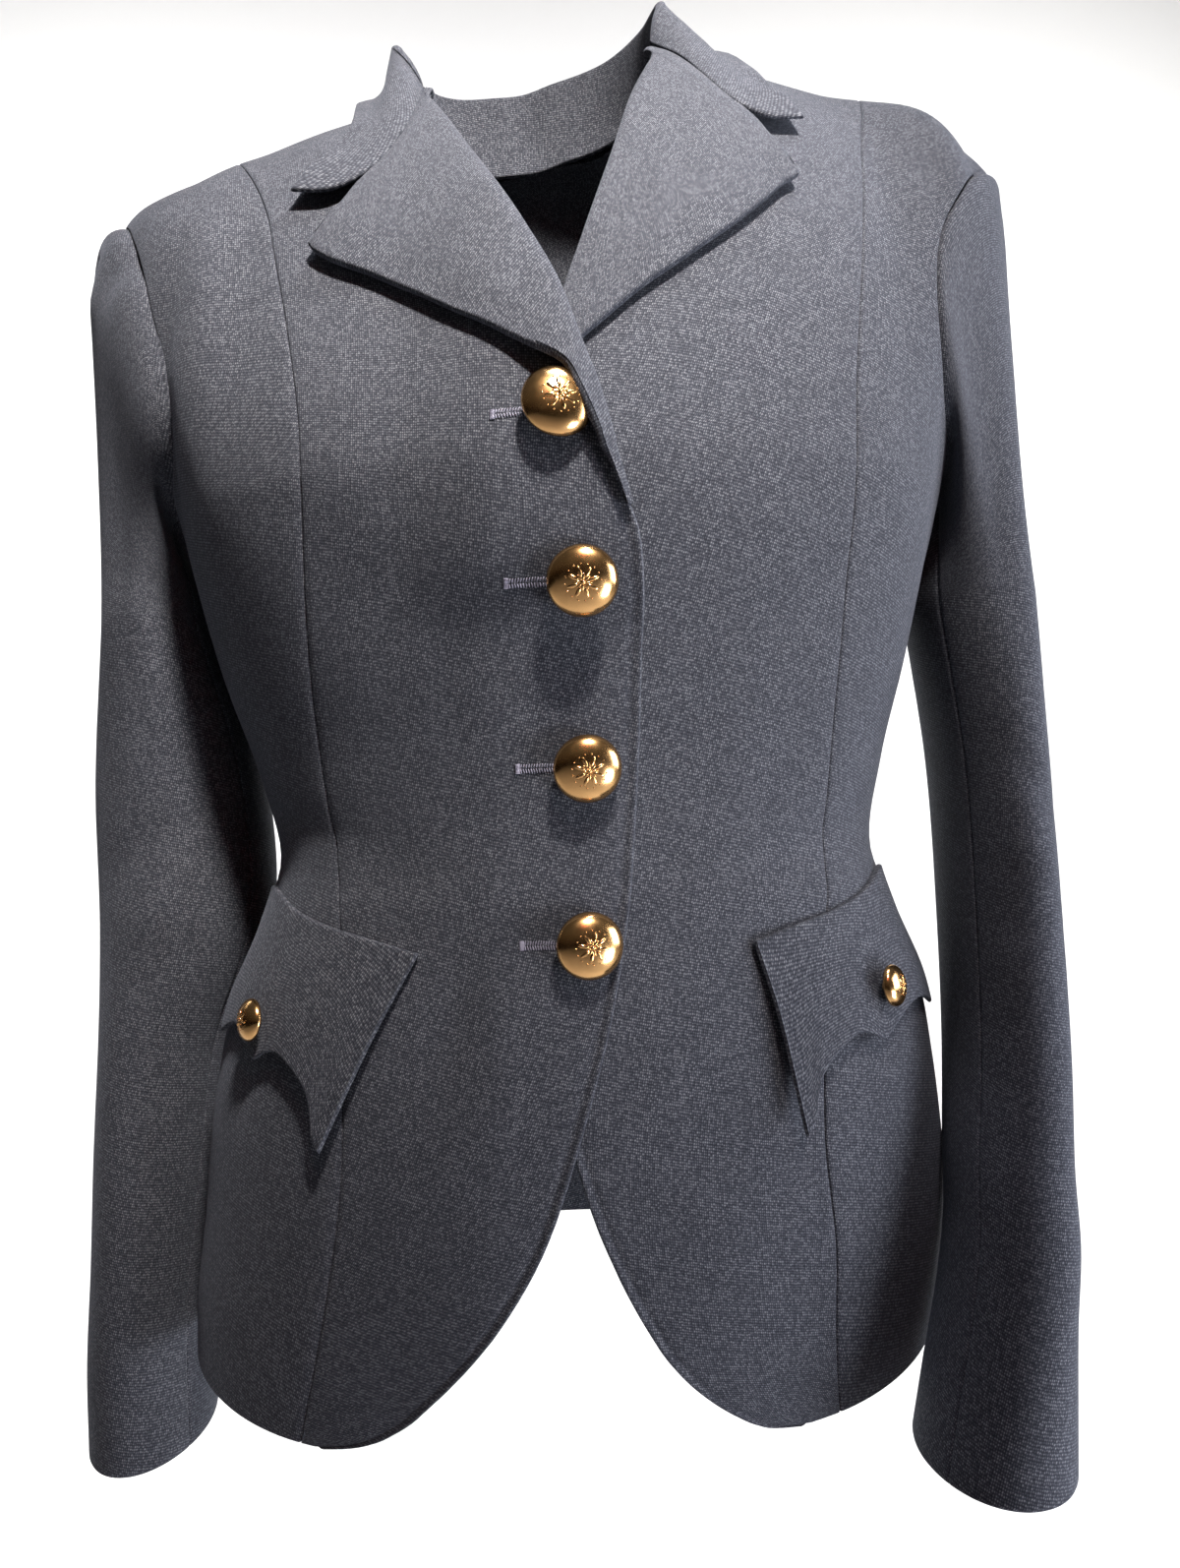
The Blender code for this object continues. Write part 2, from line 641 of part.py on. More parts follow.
def grid_mesh(outer, inner):
    """Closed shell from two equal grids: points and four-sided faces."""
    rows, cols = outer.shape[:2]
    points = np.concatenate([outer.reshape(-1, 3), inner.reshape(-1, 3)])
    at = np.arange(rows * cols).reshape(rows, cols)
    under = at + rows * cols
    a, b, c, d = at[:-1, :-1], at[:-1, 1:], at[1:, 1:], at[1:, :-1]
    faces = np.stack([a, b, c, d], -1).reshape(-1, 4).tolist()
    a, b, c, d = under[:-1, :-1], under[:-1, 1:], under[1:, 1:], under[1:, :-1]
    faces += np.stack([a, d, c, b], -1).reshape(-1, 4).tolist()
    border = [(at[0, j], at[0, j + 1]) for j in range(cols - 1)]
    border += [(at[i, -1], at[i + 1, -1]) for i in range(rows - 1)]
    border += [(at[-1, j + 1], at[-1, j]) for j in range(cols - 1)]
    border += [(at[i + 1, 0], at[i, 0]) for i in range(rows - 1)]
    more = rows * cols
    faces += [[int(b), int(a), int(a) + more, int(b) + more] for a, b in border]
    return points, faces


def sheet_normals(grid, toward):
    """Normals of a grid, all on the side of the given directions."""
    n = np.cross(np.gradient(grid, axis=1), np.gradient(grid, axis=0))
    n = n / np.maximum(np.linalg.norm(n, axis=-1, keepdims=True), 1e-12)
    return n if (n * toward).sum() > 0 else -n


def button_place(x, z, lean):
    """Seat and facing of a front button, leaning on its shank."""
    turn, row = place(x, z)
    n = normals(turn, row)
    lean = math.radians(lean)
    seat = torso(turn, row) + n * (overlap(x, z) + SEAM_GAP + 0.0002 + 0.0031 * math.sin(lean))
    n = n + np.array((math.tan(lean), 0, 0))
    return worn(seat), n / np.linalg.norm(n)


def flap_button_place(side):
    """Seat and facing of a pocket button, on the flap's middle tab."""
    outer, inner = flap(side)
    out = outer - inner
    low = 0.4 if side < 0 else -0.1
    seat = outer[4, 8] * (1 - low) + outer[5, 8] * low
    n = out[4, 8] / np.linalg.norm(out[4, 8])
    facing = n + np.array((side * math.tan(math.radians(POCKET_LEAN)) * (1 - abs(n[0])), 0, 0))
    facing = facing / np.linalg.norm(facing)
    lean = math.sqrt(max(1 - (facing @ n) ** 2, 0))
    return worn(seat + n * (SEAM_GAP + 0.0003 + 0.24 * SMALL_BUTTON * lean)), facing


# Solids
for old in list(bpy.data.objects):
    bpy.data.objects.remove(old)


def material(name, colour, rough, metal):
    made = bpy.data.materials.new(name)
    made.use_nodes = True
    shader = next(n for n in made.node_tree.nodes if n.type == "BSDF_PRINCIPLED")
    shader.inputs["Base Color"].default_value = (*colour, 1)
    shader.inputs["Roughness"].default_value = rough
    shader.inputs["Metallic"].default_value = metal
    return made


WOOL = material("wool", (0.045, 0.055, 0.080), 0.9, 0.0)
GOLD = material("gilt", (0.80, 0.55, 0.18), 0.25, 1.0)


def solid(name, points, faces, look, smooth=True):
    mesh = bpy.data.meshes.new(name)
    mesh.from_pydata([tuple(p) for p in points], [], faces)
    mesh.validate()
    work = bmesh.new()
    work.from_mesh(mesh)
    bmesh.ops.triangulate(work, faces=work.faces)
    bmesh.ops.recalc_face_normals(work, faces=work.faces)
    if work.calc_volume(signed=True) < 0:
        bmesh.ops.reverse_faces(work, faces=work.faces)
    for face in work.faces:
        face.smooth = smooth
    work.to_mesh(mesh)
    work.free()
    mesh.materials.append(look)
    made = bpy.data.objects.new(name, mesh)
    bpy.context.scene.collection.objects.link(made)
    return made


def cloth(name, outer, inner):
    solid(name, *grid_mesh(worn(outer), worn(inner)), WOOL)


def domed(name, seat, facing, radius, segments):
    profile, top = button(radius)
    z_way = np.array(facing)
    x_way = np.cross((0, 0, 1), z_way)
    x_way /= np.linalg.norm(x_way)
    y_way = np.cross(z_way, x_way)
    points = [seat]
    for r, h in profile:
        for k in range(segments):
            a = 2 * math.pi * k / segments
            points.append(seat + x_way * r * math.cos(a) + y_way * r * math.sin(a) + z_way * h)
    points.append(seat + z_way * top)
    faces = []
    for k in range(segments):
        after = (k + 1) % segments
        faces.append([0, 1 + after, 1 + k])
        for i in range(len(profile) - 1):
            a, b = 1 + i * segments, 1 + (i + 1) * segments
            faces.append([a + k, a + after, b + after, b + k])
        last = 1 + (len(profile) - 1) * segments
        faces.append([last + k, last + after, len(points) - 1])
    solid(name, points, faces, GOLD)


for panel_name in ("front_right", "front_left", "side_front_right", "side_front_left",
                   "side_back_right", "side_back_left", "back_right", "back_left"):
    cloth(panel_name, *body_panel(panel_name))
for side, label in ((-1, "right"), (1, "left")):
    cloth("lapel_" + label, *lapel(side))
    cloth("flap_" + label, *flap(side))
    solid("sleeve_top_" + label, *grid_mesh(*sleeve(side, True)), WOOL)
    solid("sleeve_under_" + label, *grid_mesh(*sleeve(side, False)), WOOL)
    domed("pocket_button_" + label, *flap_button_place(side), SMALL_BUTTON, 16)
neck = collar()
away = sheet_normals(neck, neck * (1, 1, 0) * np.where(np.arange(len(neck)) < 5, -1, 1)[:, None, None])
cloth("collar", neck, neck - away * CLOTH)
for number, row in enumerate(BUTTONS, 1):
    domed("button_%d" % number, *button_place(*row), LARGE_BUTTON, 20)
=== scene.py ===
"""Fitted four-button wool uniform jacket, in its worn form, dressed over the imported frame. Metres, +Z up."""

import math

import bmesh
import bpy
import numpy as np
from mathutils import Matrix, Vector


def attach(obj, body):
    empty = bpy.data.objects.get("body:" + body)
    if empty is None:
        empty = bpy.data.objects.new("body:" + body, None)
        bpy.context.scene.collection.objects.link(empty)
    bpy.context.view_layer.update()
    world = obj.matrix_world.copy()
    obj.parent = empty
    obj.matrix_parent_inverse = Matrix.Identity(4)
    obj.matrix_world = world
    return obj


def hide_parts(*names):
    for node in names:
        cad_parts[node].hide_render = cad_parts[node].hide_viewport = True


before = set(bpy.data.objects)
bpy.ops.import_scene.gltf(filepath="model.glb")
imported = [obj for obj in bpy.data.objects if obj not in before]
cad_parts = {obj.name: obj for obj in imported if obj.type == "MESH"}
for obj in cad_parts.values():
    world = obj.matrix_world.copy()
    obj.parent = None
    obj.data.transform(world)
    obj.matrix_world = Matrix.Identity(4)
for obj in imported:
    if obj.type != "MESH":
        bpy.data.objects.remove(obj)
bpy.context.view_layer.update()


# Studio
# A pale sweep of painted board stands behind and under the jacket, which keeps its worn form by itself.
# A small lamp above the front gives the shadows under lapels and buttons; broad lamps stand for windows.
FLOOR_Z = -1.30
SWEEP_SIZE = 9.0
SWEEP_BACK_Y = 2.4
SWEEP_HIGH = 6.0
SWEEP_BEND = 1.2
NEAR = 0.01


def linear(hex_colour):
    """sRGB hex value as a linear colour with full alpha."""
    parts = [int(hex_colour[i:i + 2], 16) / 255 for i in (1, 3, 5)]
    return tuple(c / 12.92 if c <= 0.04045 else ((c + 0.055) / 1.055) ** 2.4 for c in parts) + (1.0,)


def node(tree, kind, settings=None, **links):
    """Adds a node; settings are attributes or sockets, and links name an input and what feeds it."""
    made = tree.nodes.new(kind)
    for key, value in (settings or {}).items():
        if isinstance(key, str) and hasattr(made, key):
            setattr(made, key, value)
        else:
            made.inputs[key].default_value = value
    for key, source in links.items():
        number = int(key[1:]) if key[1:].isdigit() else key.replace("_", " ")
        tree.links.new(source, made.inputs[number])
    return made


def finish_of(name):
    """A new material with only its Principled shader and output."""
    made = bpy.data.materials.new(name)
    made.use_nodes = True
    shader = next(n for n in made.node_tree.nodes if n.type == "BSDF_PRINCIPLED")
    return made, made.node_tree, shader


def nothing_selected():
    if bpy.context.object and bpy.context.object.mode != "OBJECT":
        bpy.ops.object.mode_set(mode="OBJECT")
    bpy.ops.object.select_all(action="DESELECT")


def painted_board():
    """Matt white emulsion on board: even, pale and without a gloss."""
    made, tree, shader = finish_of("matt_emulsion_board")
    shader.inputs["Base Color"].default_value = linear("#f4f4f2")
    shader.inputs["Roughness"].default_value = 0.95
    return made


def select_edges(obj, wanted):
    """Selects the edges of which both ends are wanted."""
    work = bmesh.from_edit_mesh(obj.data)
    for edge in work.edges:
        edge.select = all(wanted(v.co) for v in edge.verts)
    work.select_flush_mode()
    bmesh.update_edit_mesh(obj.data)


def new_object(name, data):
    """An object at the origin that holds this mesh, lamp or camera."""
    made = bpy.data.objects.new(name, data)
    bpy.context.scene.collection.objects.link(made)
    return made


nothing_selected()
bpy.ops.mesh.primitive_plane_add(size=SWEEP_SIZE, location=(0, SWEEP_BACK_Y - SWEEP_SIZE / 2, FLOOR_Z))
sweep = bpy.context.object
sweep.name = "studio_sweep"
bpy.ops.object.mode_set(mode="EDIT")
bpy.ops.mesh.select_mode(type="EDGE")
select_edges(sweep, lambda at: at.y > SWEEP_SIZE / 2 - NEAR)
bpy.ops.mesh.extrude_region_move(TRANSFORM_OT_translate={"value": (0, 0, SWEEP_HIGH)})
select_edges(sweep, lambda at: at.y > SWEEP_SIZE / 2 - NEAR and at.z < NEAR)
bpy.ops.mesh.bevel(offset=SWEEP_BEND, segments=16)
bpy.ops.object.mode_set(mode="OBJECT")
bpy.ops.object.shade_smooth()
sweep.data.materials.append(painted_board())

CAMERA_AT = Vector((-0.018, -0.55, -0.335))
CAMERA_TURN = math.radians(2.6)
CAMERA_ROLL = math.radians(-1.8)
FOCAL_PIXELS = 1151
FRAME_HIGH = 1594
SENSOR = 36.0
NEAREST = 0.02

forward = Vector((math.sin(CAMERA_TURN), math.cos(CAMERA_TURN), 0))
level = Vector((math.cos(CAMERA_TURN), -math.sin(CAMERA_TURN), 0))
upright = Vector((0, 0, 1))
camera_x = level * math.cos(CAMERA_ROLL) + upright * math.sin(CAMERA_ROLL)
camera_y = upright * math.cos(CAMERA_ROLL) - level * math.sin(CAMERA_ROLL)
lens = bpy.data.cameras.new("phone_camera")
lens.sensor_fit = "VERTICAL"
lens.sensor_height = SENSOR
lens.lens = SENSOR * FOCAL_PIXELS / FRAME_HIGH
lens.clip_start = NEAREST
camera = new_object("phone_camera", lens)
camera_turned = Matrix((camera_x, camera_y, -forward)).transposed().to_4x4()
camera.matrix_world = Matrix.Translation(CAMERA_AT) @ camera_turned
bpy.context.scene.camera = camera

BULB_RADIUS = 0.10
ROOM_GLOW = 0.10

# Lamps: name, kind, place, aim, width in metres or cone in degrees, watts, colour
LAMPS = (
    ("ceiling_spot", "SPOT", (0.27, -0.92, 1.00), (-0.01, -0.10, -0.02), 24, 455, "#fff8f2"),
    ("ceiling_soft", "AREA", (0.30, -0.20, 1.35), (0.05, 0.0, 0.0), 0.5, 18, "#eef2ff"),
    ("right_window", "AREA", (1.5, -0.40, -0.10), (0.18, 0.0, -0.40), 0.8, 22, "#f0f3ff"),
    ("right_low", "AREA", (0.74, -0.58, -0.74), (0.26, 0.0, -0.46), 0.35, 9, "#f4f5ff"),
    ("warm_sign", "AREA", (0.25, -1.7, 1.3), (0.0, 0.0, -0.1), 0.35, 3, "#ff3a1c"),
    ("sweep_left", "AREA", (-1.3, 0.8, 0.9), (-1.0, 2.6, -0.3), 1.6, 42, "#ffffff"),
    ("sweep_right", "AREA", (1.3, 0.8, 0.9), (1.0, 2.6, -0.3), 1.6, 44, "#ffffff"),
)
for name, kind, place_at, aim, wide, watts, tint in LAMPS:
    lamp = bpy.data.lights.new(name, kind)
    lamp.energy = watts
    lamp.color = linear(tint)[:3]
    if kind == "SPOT":
        lamp.spot_size = math.radians(wide)
        lamp.spot_blend = 1.0
        lamp.shadow_soft_size = BULB_RADIUS
    else:
        lamp.shape = "SQUARE"
        lamp.size = wide
    way = Vector(aim) - Vector(place_at)
    turned = way.to_track_quat("-Z", "Y").to_matrix().to_4x4()
    new_object(name, lamp).matrix_world = Matrix.Translation(place_at) @ turned

# The room: pale above, warm and dark below, as the buttons mirror it
room = bpy.data.worlds.new("pale_room")
room.use_nodes = True
toward = node(room.node_tree, "ShaderNodeTexCoord").outputs["Generated"]
height = node(room.node_tree, "ShaderNodeSeparateXYZ", {}, Vector=toward).outputs["Z"]
shades = node(room.node_tree, "ShaderNodeValToRGB", {}, Fac=height)
shades.color_ramp.elements[0].color = linear("#3b2c26")
shades.color_ramp.elements[1].color = linear("#e6ebf4")
for at, tint in ((0.10, "#8a7668"), (0.35, "#cfc6bf")):
    shades.color_ramp.elements.new(at).color = linear(tint)
backdrop = room.node_tree.nodes["Background"]
room.node_tree.links.new(shades.outputs["Color"], backdrop.inputs["Color"])
backdrop.inputs["Strength"].default_value = ROOM_GLOW
bpy.context.scene.world = room
bpy.context.scene.view_settings.view_transform = "Standard"


# Fronts, side fronts, side backs and backs
# Eight cut panels of wool twill, sewn at the princess, side and centre-back seams over the bust and waist.
# Each is a thin shell on the curved worn form, turned in and rounded where it is sewn or faced.
CLOTH = 0.0022
SEAM_GAP = 0.0003
ARMPIT_Z = -0.215
HEM_Z = -0.5925
HEM_RISE = 0.010
SIDE_Y = -0.005
SHOULDER_HALF = 0.212

# Torso sections: z, half width, front depth, back depth
BODICE = (
    (-0.660, 0.1730, 0.116, 0.112),
    (-0.600, 0.1705, 0.114, 0.115),
    (-0.560, 0.1725, 0.114, 0.117),
    (-0.525, 0.1720, 0.113, 0.118),
    (-0.463, 0.1665, 0.112, 0.114),
    (-0.425, 0.1590, 0.110, 0.104),
    (-0.395, 0.1462, 0.109, 0.094),
    (-0.3685, 0.1382, 0.109, 0.088),
    (-0.327, 0.1448, 0.114, 0.090),
    (-0.285, 0.1567, 0.124, 0.097),
    (-0.227, 0.1690, 0.137, 0.104),
    (-0.198, 0.1740, 0.138, 0.105),
    (-0.140, 0.1780, 0.138, 0.105),
)

# Squareness by z: front power, back power
SQUARE = (
    (-0.600, 0.84, 0.84),
    (-0.463, 0.86, 0.84),
    (-0.3685, 0.90, 0.86),
    (-0.285, 0.84, 0.84),
    (-0.198, 0.76, 0.80),
)

# Shoulder height by x
SHOULDER = (
    (0.000, 0.0140),
    (0.050, 0.0100),
    (0.075, 0.0030),
    (0.100, -0.0040),
    (0.127, -0.0125),
    (0.150, -0.0195),
    (0.171, -0.0310),
    (0.190, -0.0440),
    (0.2065, -0.0530),
    (0.230, -0.0670),
)

# Armholes by row: how far round the cloth reaches on the right front, left front, right back and left back
ARMHOLE = (
    (0.00, 1.000, 1.000, 1.00, 1.00),
    (0.05, 0.925, 0.900, 0.94, 0.94),
    (0.12, 0.845, 0.775, 0.88, 0.88),
    (0.25, 0.765, 0.665, 0.83, 0.83),
    (0.40, 0.735, 0.615, 0.80, 0.80),
    (0.60, 0.760, 0.640, 0.79, 0.79),
    (0.80, 0.825, 0.730, 0.82, 0.80),
    (0.92, 0.868, 0.815, 0.87, 0.83),
    (1.00, 0.930, 0.870, 0.93, 0.87),
)

# Princess seams by z: front x, back x
PRINCESS = (
    (-0.660, 0.1100, 0.088),
    (-0.592, 0.1083, 0.086),
    (-0.568, 0.1050, 0.085),
    (-0.524, 0.1010, 0.082),
    (-0.485, 0.0967, 0.078),
    (-0.440, 0.0970, 0.072),
    (-0.387, 0.0996, 0.063),
    (-0.356, 0.1018, 0.062),
    (-0.326, 0.1041, 0.065),
    (-0.297, 0.1054, 0.070),
    (-0.245, 0.1068, 0.084),
    (-0.190, 0.1080, 0.098),
    (-0.140, 0.1155, 0.106),
    (-0.100, 0.1235, 0.111),
    (-0.075, 0.1290, 0.114),
    (-0.040, 0.1410, 0.117),
    (-0.015, 0.1520, 0.118),
)

# Front edge, then roll line, by z: x of the upper front, x of the lower front turned over
EDGE = (
    (-0.5925, -0.0980, -0.0900),
    (-0.5905, -0.0870, -0.0785),
    (-0.5878, -0.0785, -0.0714),
    (-0.5827, -0.0693, -0.0625),
    (-0.5697, -0.0550, -0.0452),
    (-0.5583, -0.0447, -0.0340),
    (-0.5454, -0.0348, -0.0245),
    (-0.5291, -0.0251, -0.0142),
    (-0.5071, -0.0146, -0.0038),
    (-0.4851, -0.0069, 0.0034),
    (-0.4596, 0.0006, 0.0090),
    (-0.4267, 0.0087, 0.0145),
    (-0.3932, 0.0145, 0.0185),
    (-0.3629, 0.0181, 0.0205),
    (-0.3287, 0.0209, 0.0215),
    (-0.2937, 0.0215, 0.0215),
    (-0.2637, 0.0204, 0.0210),
    (-0.2379, 0.0157, 0.0200),
    (-0.2168, 0.0090, 0.0185),
    (-0.1940, 0.0024, 0.0165),
    (-0.1813, -0.0018, 0.0150),
    (-0.1502, -0.0109, 0.0108),
    (-0.1240, -0.0212, 0.0022),
    (-0.0890, -0.0352, -0.0105),
    (-0.0508, -0.0466, -0.0250),
    (-0.0200, -0.0530, -0.0415),
    (-0.0030, -0.0555, -0.0505),
    (0.0010, -0.0640, -0.0640),
    (0.0040, -0.0715, -0.0715),
    (0.0300, -0.0740, -0.0740),
)

# Sideways sway of the worn jacket by z
SWAY = (
    (-0.660, -0.0150),
    (-0.590, -0.0120),
    (-0.560, -0.0090),
    (-0.525, -0.0050),
    (-0.475, -0.0035),
    (-0.400, -0.0010),
    (-0.370, -0.0005),
    (-0.327, -0.0015),
    (-0.290, -0.0028),
    (-0.240, -0.0035),
    (-0.200, -0.0030),
    (-0.120, 0.0000),
    (-0.050, 0.0000),
    (0.000, -0.0060),
    (0.030, -0.0115),
    (0.060, -0.0115),
)
LIFT = 0.0165
TWIST = 0.06
SHOULDER_SHIFT = 0.007
SQUARER_HIGH = 0.22
SHOULDER_BACK = 0.006


def table(rows, column, at):
    """Smooth curve through one column of a table, whose first column rises or falls all the way."""
    rows = np.array(rows, float)
    if rows[0, 0] > rows[-1, 0]:
        rows = rows[::-1]
    xs = rows[:, 0]
    ys = rows[:, column]
    slopes = np.gradient(ys, xs)
    at = np.clip(np.asarray(at, float), xs[0], xs[-1])
    i = np.clip(np.searchsorted(xs, at) - 1, 0, len(xs) - 2)
    step = xs[i + 1] - xs[i]
    s = (at - xs[i]) / step
    a = ys[i] * (1 + 2 * s) * (1 - s) ** 2 + ys[i + 1] * s * s * (3 - 2 * s)
    return a + step * (slopes[i] * s * (1 - s) ** 2 - slopes[i + 1] * s * s * (1 - s))


def unit(ways):
    """The same directions with length 1."""
    return ways / np.maximum(np.linalg.norm(ways, axis=-1, keepdims=True), 1e-12)


def ease(a, b, at):
    """0 at a and 1 at b, with a soft start and end."""
    s = np.clip((np.asarray(at, float) - a) / (b - a), 0, 1)
    return s * s * (3 - 2 * s)


def worn(points):
    """The sway and the lifted shoulder of the worn jacket."""
    p = np.array(points, float)
    x = p[..., 0].copy()
    z = p[..., 2].copy()
    p[..., 0] += table(SWAY, 1, z)
    twist = TWIST * ease(-0.36, -0.2, z)
    p[..., 0] -= twist * p[..., 1]
    p[..., 1] += twist * x
    # Both shoulder ends lie a little to +X, and the wearer's left shoulder is raised, the right one lowered
    p[..., 0] += SHOULDER_SHIFT * ease(0.12, 0.20, np.abs(x)) * ease(-0.15, -0.08, z)
    size = np.abs(x)
    tilt = np.tanh(x / 0.06) * (1 + 0.25 * ease(0.1, 0.17, size) - 0.42 * ease(0.165, 0.2, size))
    p[..., 2] += LIFT * tilt * ease(-0.25, -0.12, z)
    return p


def bodice(turn, row):
    """Point of the plain form. turn 0 is the front, 1 the side, 2 the back, minus on the wearer's right.
    row is z up to the armpit, then ARMPIT_Z + v for v from 0 to 1 at the shoulder, and on over it."""
    turn = np.asarray(turn, float)
    row = np.asarray(row, float)
    turn, row = np.broadcast_arrays(turn, row)
    v = np.maximum(row - ARMPIT_Z, 0)
    over = v > 1
    v = np.where(over, 2 - v, v)
    t = np.where(over, np.where(turn < 0, -1, 1) * (2 - np.abs(turn)), turn)
    z = np.minimum(row, ARMPIT_Z)
    angle = np.abs(t) * math.pi / 2
    half = table(BODICE, 1, z) * (1 - v) + SHOULDER_HALF * v
    x = np.sign(t) * half * np.sin(angle)
    cos = np.cos(angle)
    # The chest slopes back to the shoulder from low down; the back stays full, most of all by the neck
    full = 3 + 2 * ease(0.11, 0.03, np.abs(x))
    wide = ease(0.13, 0.20, np.abs(x))
    front = table(BODICE, 2, z) * np.maximum(cos, 0) ** (table(SQUARE, 1, z) - SQUARER_HIGH * v)
    front = front * (1 - v ** (1.55 + 1.6 * wide)) ** (0.66 - 0.08 * wide)
    back = table(BODICE, 3, z) * np.maximum(-cos, 0) ** (table(SQUARE, 2, z) - SQUARER_HIGH * v)
    back = back * (1 - v ** full) ** 0.57
    y = SIDE_Y * (1 - v) + SHOULDER_BACK * v - front + back
    top = table(SHOULDER, 1, np.abs(x))
    z = z + HEM_RISE * ease(0.40, 0.95, np.abs(t)) * ease(-0.54, HEM_Z, z)
    z = np.where(v > 0, ARMPIT_Z + (top - ARMPIT_Z) * v, z)
    return np.stack([x, y, z], -1)


def place(x, z, back=False):
    """turn and row of the form's point at this x and z."""
    x = np.asarray(x, float)
    z = np.asarray(z, float)
    top = table(SHOULDER, 1, np.abs(x))
    v = np.clip((z - ARMPIT_Z) / (top - ARMPIT_Z), 0, 1)
    row = np.where(z > ARMPIT_Z, ARMPIT_Z + v, z)
    half = table(BODICE, 1, np.minimum(z, ARMPIT_Z)) * (1 - v) + SHOULDER_HALF * v
    t = np.arcsin(np.clip(np.abs(x) / half, 0, 1)) * 2 / math.pi
    t = 2 - t if back else t
    return np.where(x < 0, -t, t), row


def normals(turn, row):
    """Outward normals of the plain form."""
    d = 0.002
    turn, row = np.broadcast_arrays(np.asarray(turn, float), np.asarray(row, float))
    size = np.abs(turn)
    near = (row > ARMPIT_Z + 0.8) & (np.abs(size - 1) < 0.03)
    turn = np.where(near, np.sign(turn) * np.where(size > 1, 1.03, 0.97), turn)
    a = bodice(turn + d, row) - bodice(turn - d, row)
    b = bodice(turn, row + d) - bodice(turn, row - d)
    return unit(np.cross(a, b))


# How far the upper front stands out over the lower one, and how much more where the lapels cross
OVERLAP = 0.0031
CROSSING = 0.0058


def overlap(x, z):
    """How far the upper front stands out over the lower one at this x and z."""
    near = ease(-0.075, -0.030, x)
    crossing = ease(-0.285, -0.245, z) * ease(-0.050, -0.110, z)
    return near * (OVERLAP + CROSSING * crossing)


# Rows from the hem to the shoulder
LOW = (HEM_Z, -0.5905, -0.586, -0.578, -0.565, -0.545, -0.520, -0.488, -0.456, -0.425,
       -0.397, -0.3685, -0.340, -0.310, -0.280, -0.248, ARMPIT_Z)
HIGH = (0.05, 0.12, 0.21, 0.32, 0.44, 0.56, 0.68, 0.79, 0.88, 0.95, 1.0)
STEPS = 5


def finer(values, steps):
    """The same rising or falling row of numbers with more steps between."""
    values = np.array(values, float)
    at = np.arange(len(values))
    rows = np.stack([at, values], 1)
    return table(rows, 1, np.linspace(0, len(values) - 1, (len(values) - 1) * steps + 1))


ROWS = finer(LOW + tuple(ARMPIT_Z + v for v in HIGH), STEPS)


def seam_turn(rows, x_at, back=False):
    """turn of a seam whose x is known by z, found row by row."""
    xs = np.linspace(-0.2, 0.2, 4001)
    top = table(SHOULDER, 1, np.abs(xs))
    found = []
    for row in rows:
        v = max(row - ARMPIT_Z, 0)
        z = np.full(xs.shape, row) if v == 0 else ARMPIT_Z + (top - ARMPIT_Z) * v
        x = xs[np.argmin(np.abs(xs - x_at(z)))]
        half = table(BODICE, 1, min(row, ARMPIT_Z)) * (1 - v) + SHOULDER_HALF * v
        t = math.asin(min(abs(x) / half, 1)) * 2 / math.pi
        t = 2 - t if back else t
        found.append(-t if x < 0 else t)
    return np.array(found)


def limits(rows, side):
    """Turns of the armhole or side seam, front and back."""
    v = np.maximum(rows - ARMPIT_Z, 0)
    return table(ARMHOLE, 1 if side < 0 else 2, v), 2 - table(ARMHOLE, 3 if side < 0 else 4, v)


def across(start, end, count):
    share = np.linspace(0, 1, count)
    return start[:, None] * (1 - share) + end[:, None] * share


